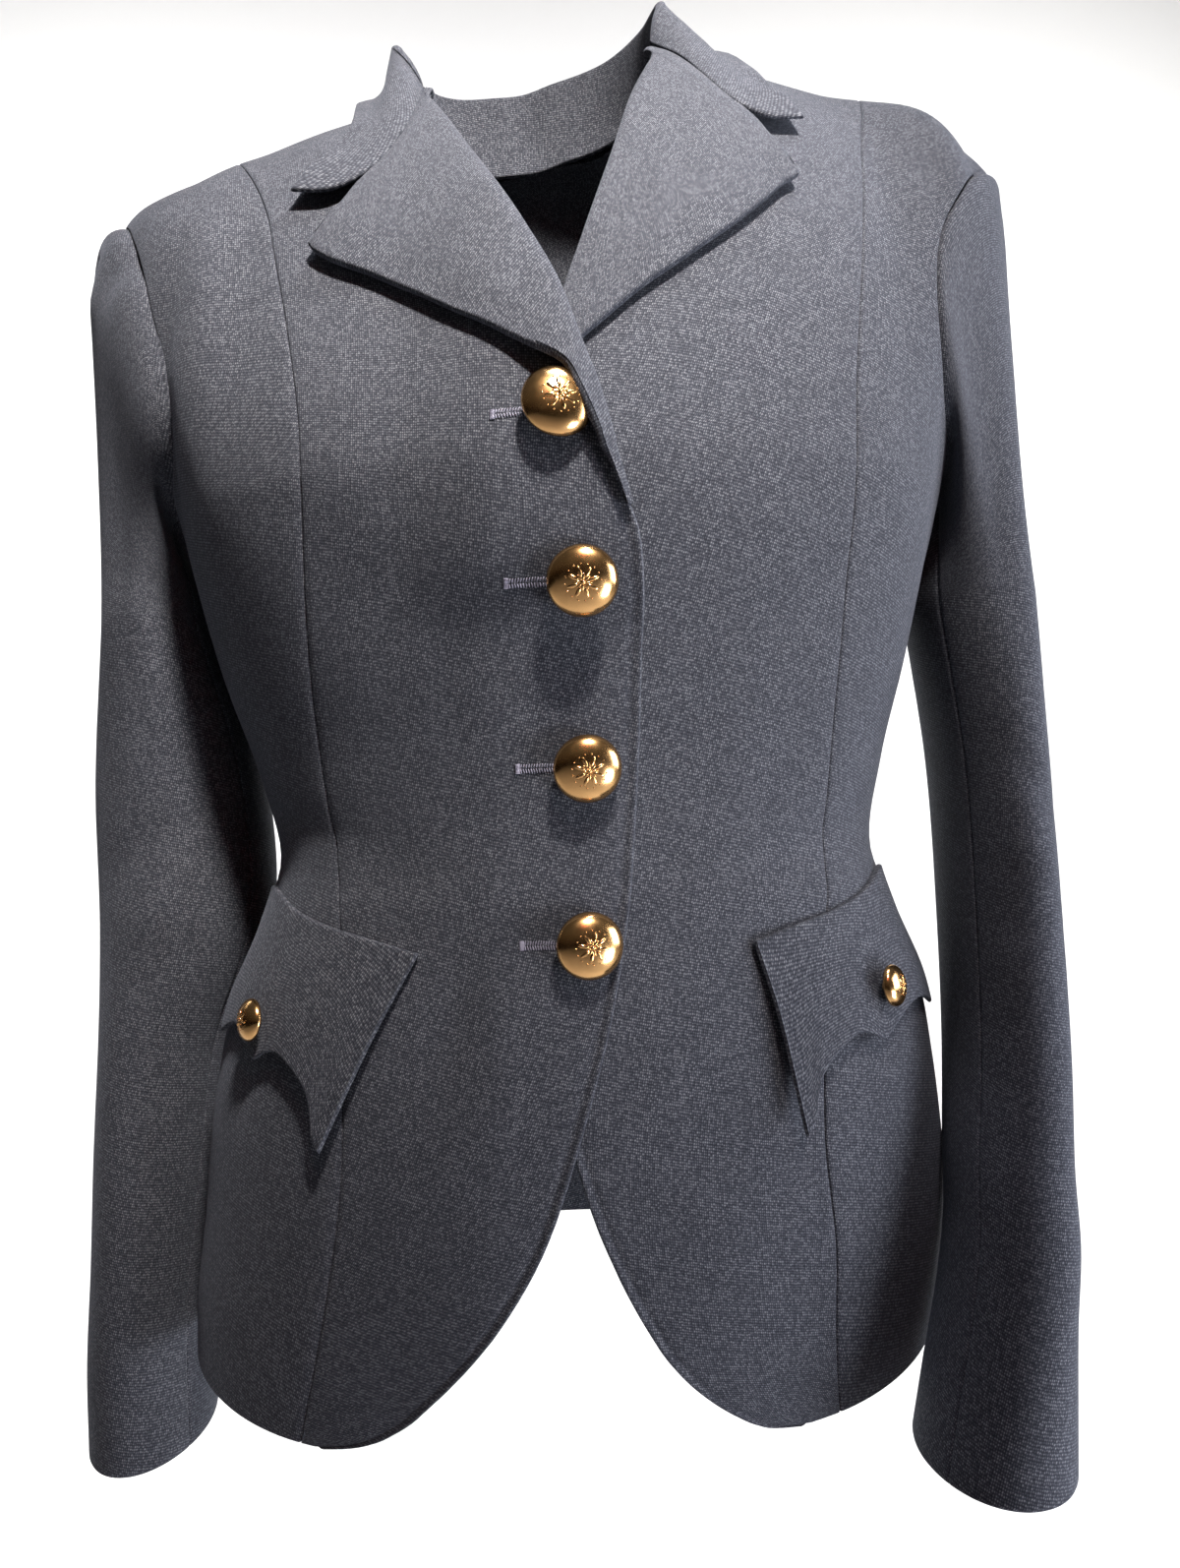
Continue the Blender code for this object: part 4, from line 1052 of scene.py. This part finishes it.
neck = np.concatenate([collar_half(-1), collar_half(1)[:, -2::-1]], 1)
behind = np.clip(1.6 - np.abs(np.linspace(-2.2, 2.2, neck.shape[1])), 0, 1)
sewn_in = neck[:1] + (neck[:1] - neck[1:2]) * (FOOT_LEAST + FOOT_BEHIND * behind)[None, :, None]
neck = np.concatenate([sewn_in, neck])
side_way = np.where(np.arange(len(neck)) < STAND_ROWS, -1, 1)[:, None, None]
away = sheet_normals(neck, neck * (1, 1, 0) * side_way)
outer = smooth_grid(worn(neck), COLLAR_STEPS)
inner = smooth_grid(worn(neck - away * CLOTH), COLLAR_STEPS)
cloth_piece("collar", outer, inner, ("left", "right", "top"), ("foot",))


# Sleeves
# Two-piece sleeves, top and under sleeve, joined at the fore and hind seams and set into the armholes.
# The head is eased in, so it rises a little over the shoulder seam; the lower half bends a little forward.

# Sleeve rings below the armpit: z, centre x, centre y, half width, half depth
SLEEVE_LEFT = (
    (-0.255, 0.1925, -0.008, 0.0265, 0.052),
    (-0.330, 0.1955, -0.018, 0.0228, 0.052),
    (-0.400, 0.1935, -0.030, 0.0222, 0.050),
    (-0.463, 0.1875, -0.047, 0.0222, 0.047),
    (-0.500, 0.1778, -0.070, 0.0230, 0.042),
    (-0.525, 0.1735, -0.082, 0.0236, 0.041),
    (-0.550, 0.1672, -0.091, 0.0243, 0.0405),
    (-0.580, 0.1592, -0.101, 0.0273, 0.040),
    (-0.603, 0.1530, -0.109, 0.0293, 0.040),
)
SLEEVE_RIGHT = (
    (-0.255, -0.1925, 0.000, 0.0235, 0.050),
    (-0.330, -0.1905, 0.012, 0.0385, 0.046),
    (-0.400, -0.1915, 0.014, 0.0395, 0.045),
    (-0.450, -0.2015, 0.016, 0.0315, 0.046),
    (-0.500, -0.2065, 0.014, 0.0290, 0.046),
    (-0.550, -0.2100, 0.010, 0.0265, 0.046),
    (-0.600, -0.2120, 0.006, 0.0265, 0.045),
    (-0.634, -0.2105, 0.002, 0.0265, 0.045),
)


# Points round a sleeve, rows of its head, and rows from the armpit to the cuff
AROUND = 96
HEAD_ROWS = 30
ARM_ROWS = 80
ANGLE = np.linspace(0, 2 * math.pi, AROUND, endpoint=False)
ARMHOLE_GAP = 0.0012

# How far the head is led outwards, right then left
HEAD_BULGE = {-1: 0.022, 1: 0.004}


def armhole_at(side):
    """turn and row of the armhole's points, from the shoulder round by the front."""
    v = ((1 + np.cos(ANGLE)) / 2) ** 1.2
    front, back = limits(ARMPIT_Z + v, side)
    return side * np.where(np.sin(ANGLE) >= 0, front, back), ARMPIT_Z + v


def sleeve_tube(side):
    """Closed tube of the visible face, rows from the armhole to the cuff; angle 0 is the outer side."""
    rings = SLEEVE_LEFT if side > 0 else SLEEVE_RIGHT
    angle = ANGLE
    armhole = bodice(*armhole_at(side))
    armhole = worn(armhole + np.array((side * ARMHOLE_GAP, 0, 0)))

    def ring(z):
        x, y, w, d = (table(rings, k, z) for k in (1, 2, 3, 4))
        return np.stack([x + side * w * np.cos(angle), y - d * np.sin(angle), np.full(AROUND, z)], -1)

    # The head is a smooth curve from the armhole to the first ring, led outwards at its top
    high = (1 + np.cos(angle)) / 2
    first = ring(rings[0][0])
    bulge = HEAD_BULGE[side]
    out = np.stack([side * (0.006 + bulge * high), -0.003 * np.sin(angle), -0.003 * (1 - high)], -1)
    lift = 0.5 * (armhole[:, 2] - first[:, 2])
    above = np.stack([-0.016 * high if side > 0 else 0.004 * high, 0 * lift, lift], -1)
    rows = []
    for s in np.linspace(0, 1, HEAD_ROWS)[:-1] ** 1.15:
        rows.append(armhole * (1 - s) ** 3 + (armhole + out) * 3 * s * (1 - s) ** 2
                    + (first + above) * 3 * s * s * (1 - s) + first * s ** 3)
    for z in np.linspace(rings[0][0], rings[-1][0], ARM_ROWS):
        rows.append(ring(z))
    return np.stack(rows, 0)


def tube_normals(tube, side):
    """Outward normals of a sleeve's tube."""
    round_way = np.roll(tube, -1, 1) - np.roll(tube, 1, 1)
    return unit(np.cross(round_way, np.gradient(tube, axis=0)) * side)


# Folds of the sleeves: side, angle and z at both ends, width, height out; angle 0 is outwards, 90 the front
SLEEVE_FOLDS = (
    (-1, 20, -0.085, 28, -0.100, 0.0055, -0.0022),
    (-1, 52, -0.098, 60, -0.120, 0.0060, -0.0022),
    (-1, 35, -0.105, 40, -0.125, 0.0060, 0.0012),
    (-1, 70, -0.150, 80, -0.300, 0.0120, -0.0022),
    (-1, 30, -0.170, 36, -0.360, 0.0150, 0.0014),
    (-1, 100, -0.345, 50, -0.372, 0.0090, -0.0022),
    (-1, 110, -0.385, 60, -0.395, 0.0100, 0.0016),
    (-1, 60, -0.420, 72, -0.560, 0.0160, 0.0014),
    (-1, -60, -0.340, -100, -0.350, 0.0100, 0.0018),
    (-1, -70, -0.150, -80, -0.290, 0.0150, -0.0026),
    (1, 28, -0.060, 34, -0.080, 0.0060, -0.0012),
    (1, 60, -0.120, 66, -0.300, 0.0130, 0.0020),
    (1, 84, -0.110, 92, -0.280, 0.0130, -0.0030),
    (1, 40, -0.180, 46, -0.400, 0.0160, -0.0014),
    (1, 112, -0.330, 60, -0.352, 0.0095, -0.0024),
    (1, 120, -0.362, 70, -0.380, 0.0100, 0.0018),
    (1, 130, -0.400, 80, -0.405, 0.0100, -0.0018),
    (1, 62, -0.430, 70, -0.570, 0.0150, 0.0014),
    (1, -60, -0.345, -105, -0.352, 0.0100, 0.0018),
    (1, -72, -0.140, -82, -0.290, 0.0150, -0.0026),
)
ARM_ROUND = 0.038


def sleeve_folded(side, angle, z):
    """How far the folds of one sleeve move its cloth out."""
    out = np.zeros(np.shape(z))
    for which, a0, z0, a1, z1, wide, high in SLEEVE_FOLDS:
        if which != side:
            continue
        a, c = math.radians(a0), math.radians(a1)
        way = (np.mod(angle - a + math.pi, 2 * math.pi) - math.pi) * ARM_ROUND
        reach = (c - a) * ARM_ROUND
        length = reach ** 2 + (z1 - z0) ** 2
        near = np.clip((way * reach + (z - z0) * (z1 - z0)) / length, 0, 1)
        off = np.hypot(way - near * reach, z - z0 - near * (z1 - z0))
        soft = 1 - 0.75 * np.abs(2 * near - 1) ** 2.5
        out = out + high * soft * np.exp(-(off / wide) ** 2)
    return out


# The head's turned-in border: depths below the seam, and how far in from it
SET_DEPTHS = (0.0042, 0.0026, 0.0014, 0.0005)
SET_IN = 0.0008


def set_in(tube, out, side):
    """Carries the sleeve's head down into the armhole seam, so the two cloths meet in a soft valley."""
    down = normals(*armhole_at(side))
    away = unit(tube[2] - tube[0])
    foot = tube[0] - away * SET_IN
    bend = np.stack([foot - down * depth for depth in SET_DEPTHS])
    return np.concatenate([bend, tube]), np.concatenate([np.repeat(away[None], len(bend), 0), out])


# Places of the fore and hind seams round the sleeve
FORE_SEAM = round(AROUND * 0.42)
HIND_SEAM = round(AROUND * 0.70)
SLEEVE_PARTS = (
    ("top", list(range(HIND_SEAM - AROUND, FORE_SEAM + 1))),
    ("under", list(range(FORE_SEAM, HIND_SEAM + 1))),
)
for side, label in ((-1, "right"), (1, "left")):
    tube = sleeve_tube(side)
    out = tube_normals(tube, side)
    tube = tube + out * sleeve_folded(side, ANGLE[None], tube[..., 2])[..., None]
    tube, out = set_in(tube, out, side)
    for part, columns in SLEEVE_PARTS:
        outer = tube[:, columns]
        inner = outer - out[:, columns] * CLOTH
        outer = pull_in(outer, ("left", "right"))
        cloth_piece("sleeve_%s_%s" % (part, label), outer, inner, ("top",), ("left", "right", "foot"))


# Pocket flaps
# A pointed flap hangs from a slanted seam at each side of the waist, with a tab for a small button.
# Cut double and turned, it is held only at its top, so the front point stands off and casts a shadow.

# Pocket flap columns from the front point to the side: top x, top z, foot x, foot z
FLAP = (
    (0.0650, -0.3993, 0.0913, -0.4755),
    (0.0700, -0.3980, 0.0948, -0.4700),
    (0.0760, -0.3963, 0.0960, -0.4625),
    (0.0830, -0.3945, 0.0980, -0.4545),
    (0.0900, -0.3928, 0.1022, -0.4485),
    (0.0970, -0.3914, 0.1088, -0.4428),
    (0.1040, -0.3895, 0.1146, -0.4400),
    (0.1100, -0.3877, 0.1205, -0.4412),
    (0.1150, -0.3860, 0.1265, -0.4445),
    (0.1195, -0.3840, 0.1320, -0.4395),
    (0.1240, -0.3815, 0.1380, -0.4345),
    (0.1285, -0.3785, 0.1460, -0.4335),
    (0.1340, -0.3760, 0.1560, -0.4395),
)
FLAP_SKEW = 0.040

# How far a flap stands off its panel: at its seam, more at its foot, and more again at its front point
FLAP_STAND = 0.0036
FOOT_STAND = 0.0004
POINT_STAND = 0.0068


def flap(side, rows, columns):
    """Grids of one flap, its foot a smooth curve through the table's points."""
    s = np.linspace(0, 1, columns)
    tagged = [(i / (len(FLAP) - 1),) + r for i, r in enumerate(FLAP)]
    top_x, top_z, foot_x, foot_z = (table(tagged, k, s) for k in (1, 2, 3, 4))
    t_top, r_top = place(top_x, top_z)
    t_foot, r_foot = place(foot_x, foot_z)
    k = np.linspace(0, 1, rows)[:, None]
    turn = side * (t_top * (1 - k) + t_foot * k) - FLAP_SKEW * ease(1.0, 0.6, s) * k
    row = r_top * (1 - k) + r_foot * k
    stand = FLAP_STAND + (FOOT_STAND + POINT_STAND * (1 - s) ** 0.8) * k ** 1.3
    plain = bodice(turn, row)
    if side < 0:
        stand = stand + overlap(plain[..., 0], plain[..., 2])
    n = normals(turn, row)
    outer = plain + n * stand[..., None]
    return outer, outer - n * CLOTH


for side, label in ((-1, "right"), (1, "left")):
    outer, inner = flap(side, 34, 90)
    cloth_piece("flap_" + label, worn(outer), worn(inner), ("left", "right", "top"), ("foot",))


# Buttonholes
# Each front button's hole is cut and worked round in buttonhole twist, with a bar across its outer end.
# Only the part that runs out from under the button is seen.

# Large buttons: x, z, lean towards the wearer's left in degrees
BUTTONS = (
    (-0.0135, -0.2026, 13),
    (-0.0024, -0.2596, 0),
    (0.0009, -0.3279, 4),
    (-0.0003, -0.3964, 10),
)

# Buttonholes: outer end x and z from the button; the inner end is a little past the button's middle
HOLES = (
    (-0.0212, 0.0004),
    (-0.0262, -0.0006),
    (-0.0252, 0.0000),
    (-0.0244, 0.0002),
)
HOLE_END = 0.0040
HOLE_WIDE = 0.0018
STITCH_LONG = 0.0024
STITCH_THICK = 0.00050
STITCH_UP = 0.00035
BAR_STITCHES = 9
BAR_STEP = 0.00042


def buttonhole_twist():
    """Silk-like twisted polyester thread, dyed a little purpler than the cloth, with a low sheen."""
    made, tree, shader = finish_of("buttonhole_twist_polyester")
    grain = node(tree, "ShaderNodeTexCoord").outputs["Object"]
    cloud = node(tree, "ShaderNodeTexNoise", {"Scale": 700.0, "Detail": 1.0}, Vector=grain).outputs["Fac"]
    ramp = node(tree, "ShaderNodeValToRGB", {}, Fac=cloud)
    ramp.color_ramp.elements[0].color = linear("#4a4959")
    ramp.color_ramp.elements[1].color = linear("#a3a1b2")
    tree.links.new(ramp.outputs["Color"], shader.inputs["Base Color"])
    shader.inputs["Roughness"].default_value = 0.55
    return made


TWIST_THREAD = buttonhole_twist()
nothing_selected()
bpy.ops.mesh.primitive_uv_sphere_add(segments=8, ring_count=6, radius=0.5)
one_stitch = bpy.context.object
stitch_points = np.array([v.co[:] for v in one_stitch.data.vertices])
stitch_faces = [list(p.vertices) for p in one_stitch.data.polygons]
bpy.data.objects.remove(one_stitch)


def on_front(x, z):
    """Places of stitches on the upper front's visible cloth, and the way out of it."""
    turn, row = place(x, z)
    out = normals(turn, row)
    stand = folded(turn, z) + STITCH_UP + overlap(x, z)
    return bodice(turn, row) + out * stand[..., None], out


def worked_hole(name, start, end):
    """One mesh of stitches round a slit from its outer to its inner end, with a bar over the outer one."""
    length = np.linalg.norm(end - start)
    run = (end - start) / length
    cross_way = np.array((-run[1], run[0]))
    flat, ways, longs = [], [], []
    count = int(length / (STITCH_THICK * 1.9))
    for k in range(count + 1):
        for edge in (-1, 1):
            flat.append(start + run * length * k / count + cross_way * edge * HOLE_WIDE * 0.5)
            ways.append(cross_way * edge + run * 0.25)
            longs.append(STITCH_LONG * 0.86)
    for k in range(BAR_STITCHES):
        flat.append(start - run * 0.0003 + cross_way * (k - BAR_STITCHES // 2) * BAR_STEP)
        ways.append(run)
        longs.append(STITCH_LONG * 0.9)
    flat = np.array(flat)
    ways = np.array(ways)
    places, outs = on_front(flat[:, 0], flat[:, 1])
    ahead, _ = on_front(flat[:, 0] + ways[:, 0] * 0.001, flat[:, 1] + ways[:, 1] * 0.001)
    points, faces = [], []
    for at, way, out, size in zip(places, ahead - places, outs, longs):
        way = unit(way)
        basis = np.stack([way * size, np.cross(out, way) * STITCH_THICK, out * STITCH_THICK * 1.3])
        first = len(points) * len(stitch_points)
        points.append(worn(at + stitch_points @ basis))
        faces += [[i + first for i in f] for f in stitch_faces]
    mesh = bpy.data.meshes.new(name)
    mesh.from_pydata([tuple(p) for p in np.concatenate(points)], [], faces)
    mesh.shade_smooth()
    mesh.materials.append(TWIST_THREAD)
    made = new_object(name, mesh)
    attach(made, "root")


for number, ((x, z, _), (to_x, to_z)) in enumerate(zip(BUTTONS, HOLES), 1):
    worked_hole("buttonhole_%d" % number, np.array((x + to_x, z + to_z)), np.array((x + HOLE_END, z)))


# Buttons
# Stamped brass shells, domed, closed over a back plate with a wire shank, and polished gold plate all over.
# The front ones are 26 mm and the pocket ones 17 mm; each carries a small leaf rosette in a ring of beads.
LARGE_BUTTON = 0.0130
SMALL_BUTTON = 0.0087


def polished_gilt():
    """Gold plate on polished brass: a mirror-like warm metal, softened by handling."""
    made, tree, shader = finish_of("gold_plate_polished")
    grain = node(tree, "ShaderNodeTexCoord").outputs["Object"]
    wear = node(tree, "ShaderNodeTexNoise", {"Scale": 420.0, "Detail": 3.0}, Vector=grain).outputs["Fac"]
    rough = node(tree, "ShaderNodeMath", {"operation": "MULTIPLY_ADD", 1: 0.12, 2: 0.14}, _0=wear)
    tree.links.new(rough.outputs["Value"], shader.inputs["Roughness"])
    shader.inputs["Base Color"].default_value = linear("#d3a56c")
    shader.inputs["Metallic"].default_value = 1.0
    return made


GILT = polished_gilt()


def lathe_up(profile, segments):
    """Turns a disc into a closed body by lifting and scaling its top face, ring by ring."""
    nothing_selected()
    bpy.ops.mesh.primitive_circle_add(vertices=segments, radius=profile[0][0], fill_type="NGON",
                                      location=(0, 0, 0))
    made = bpy.context.object
    bpy.ops.object.mode_set(mode="EDIT")
    bpy.ops.mesh.select_mode(type="FACE")
    bpy.ops.mesh.select_all(action="SELECT")
    for (r0, h0), (r1, h1) in zip(profile[:-1], profile[1:]):
        bpy.ops.mesh.extrude_region_move(TRANSFORM_OT_translate={"value": (0, 0, h1 - h0)})
        bpy.ops.transform.resize(value=(r1 / r0, r1 / r0, 1))
    bpy.ops.mesh.select_all(action="SELECT")
    bpy.ops.mesh.normals_make_consistent(inside=False)
    bpy.ops.object.mode_set(mode="OBJECT")
    return made


# Button shapes: heights of the shank's top, the plate's edge, the rim's foot and its top
BUTTON_HEIGHTS = (0.0029, 0.0031, 0.0034, 0.0039)
DOME_FOOT = 0.0041
DOME_RINGS = 15

# Two rings of leaves: place, length and turn, all as shares
LEAVES = (
    (0.30, 0.165, 0.0),
    (0.155, 0.10, 0.5),
)
BEAD_RING = 0.50


def stamped_button(name, radius, segments, petals):
    """A button at the origin facing +Z: shank, back plate, plain high dome, and the small raised rosette."""
    high = radius * 0.50
    widths = [radius * share for share in (0.22, 0.93, 0.98, 1.0)]
    profile = [(widths[0], 0.0)] + list(zip(widths, BUTTON_HEIGHTS))
    for step in range(DOME_RINGS):
        a = 0.02 + 1.50 * step / (DOME_RINGS - 1)
        profile.append((radius * math.cos(a), DOME_FOOT + high * math.sin(a)))
    shell = lathe_up(profile, segments)
    parts = [shell]

    def raised(share, angle, size, segments, rings, **more):
        """Adds a small round on the dome, at this share of the radius."""
        r = radius * share
        h = DOME_FOOT + high * math.sqrt(max(1 - share ** 2, 0))
        bpy.ops.mesh.primitive_uv_sphere_add(
            segments=segments, ring_count=rings, radius=radius * size,
            location=(r * math.cos(angle), r * math.sin(angle), h), **more)
        parts.append(bpy.context.object)

    for share, long, turn in LEAVES:
        slope = math.atan2(high * share / math.sqrt(1 - share ** 2), radius)
        for k in range(petals):
            a = 2 * math.pi * (k + turn) / petals
            raised(share, a, long, 12, 8, rotation=(0, slope, a), scale=(1.0, 0.36, 0.24))
    for k in range(petals * 2):
        raised(BEAD_RING, math.pi * (k + 0.5) / petals, 0.026, 8, 6)
    raised(0.0, 0.0, 0.075, 14, 8)
    nothing_selected()
    for part in parts:
        part.select_set(True)
    bpy.context.view_layer.objects.active = shell
    bpy.ops.object.join()
    bpy.ops.object.transform_apply(location=True, rotation=True, scale=True)
    bpy.ops.object.shade_smooth_by_angle(angle=math.radians(40))
    shell.name = name
    shell.data.materials.clear()
    shell.data.materials.append(GILT)
    return shell


def button_place(x, z, lean):
    """Seat and facing of a front button, leaning on its shank."""
    turn, row = place(x, z)
    n = normals(turn, row)
    lean = math.radians(lean)
    seat = bodice(turn, row) + n * (overlap(x, z) + SEAM_GAP + 0.0002 + 0.0031 * math.sin(lean))
    return worn(seat), unit(n + np.array((math.tan(lean), 0, 0)))


# Lean of the pocket buttons towards the sides in degrees
POCKET_LEAN = 40


def flap_button_place(side):
    """Seat and facing of a pocket button, on the flap's middle tab."""
    outer, inner = flap(side, 7, len(FLAP))
    out = outer - inner
    low = 0.4 if side < 0 else -0.1
    seat = outer[4, 8] * (1 - low) + outer[5, 8] * low
    n = unit(out[4, 8])
    facing = unit(n + np.array((side * math.tan(math.radians(POCKET_LEAN)) * (1 - abs(n[0])), 0, 0)))
    lean = math.sqrt(max(1 - (facing @ n) ** 2, 0))
    return worn(seat + n * (SEAM_GAP + 0.0003 + 0.24 * SMALL_BUTTON * lean)), facing


def sewn_on(model, name, node_name, seat, facing, spin):
    """A copy of a button with its own mesh, set where it is sewn."""
    z_way = Vector(facing)
    x_way = Vector((0, 0, 1)).cross(z_way).normalized()
    y_way = z_way.cross(x_way)
    turn = Matrix((x_way, y_way, z_way)).transposed().to_4x4() @ Matrix.Rotation(spin, 4, "Z")
    mesh = model.data.copy()
    mesh.transform(Matrix.Translation(Vector(seat)) @ turn)
    made = new_object(name, mesh)
    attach(made, "root")
    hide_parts(node_name)


large = stamped_button("large_button_model", LARGE_BUTTON, 64, 8)
small = stamped_button("small_button_model", SMALL_BUTTON, 48, 6)
for number, row in enumerate(BUTTONS, 1):
    seat, facing = button_place(*row)
    sewn_on(large, "gilt_button_%d" % number, "button_%d" % number, seat, facing, 0.15 * number)
for side, label in ((-1, "right"), (1, "left")):
    seat, facing = flap_button_place(side)
    sewn_on(small, "gilt_pocket_button_" + label, "pocket_button_" + label, seat, facing, 0.2 * side)
for model in (large, small):
    bpy.data.objects.remove(model)
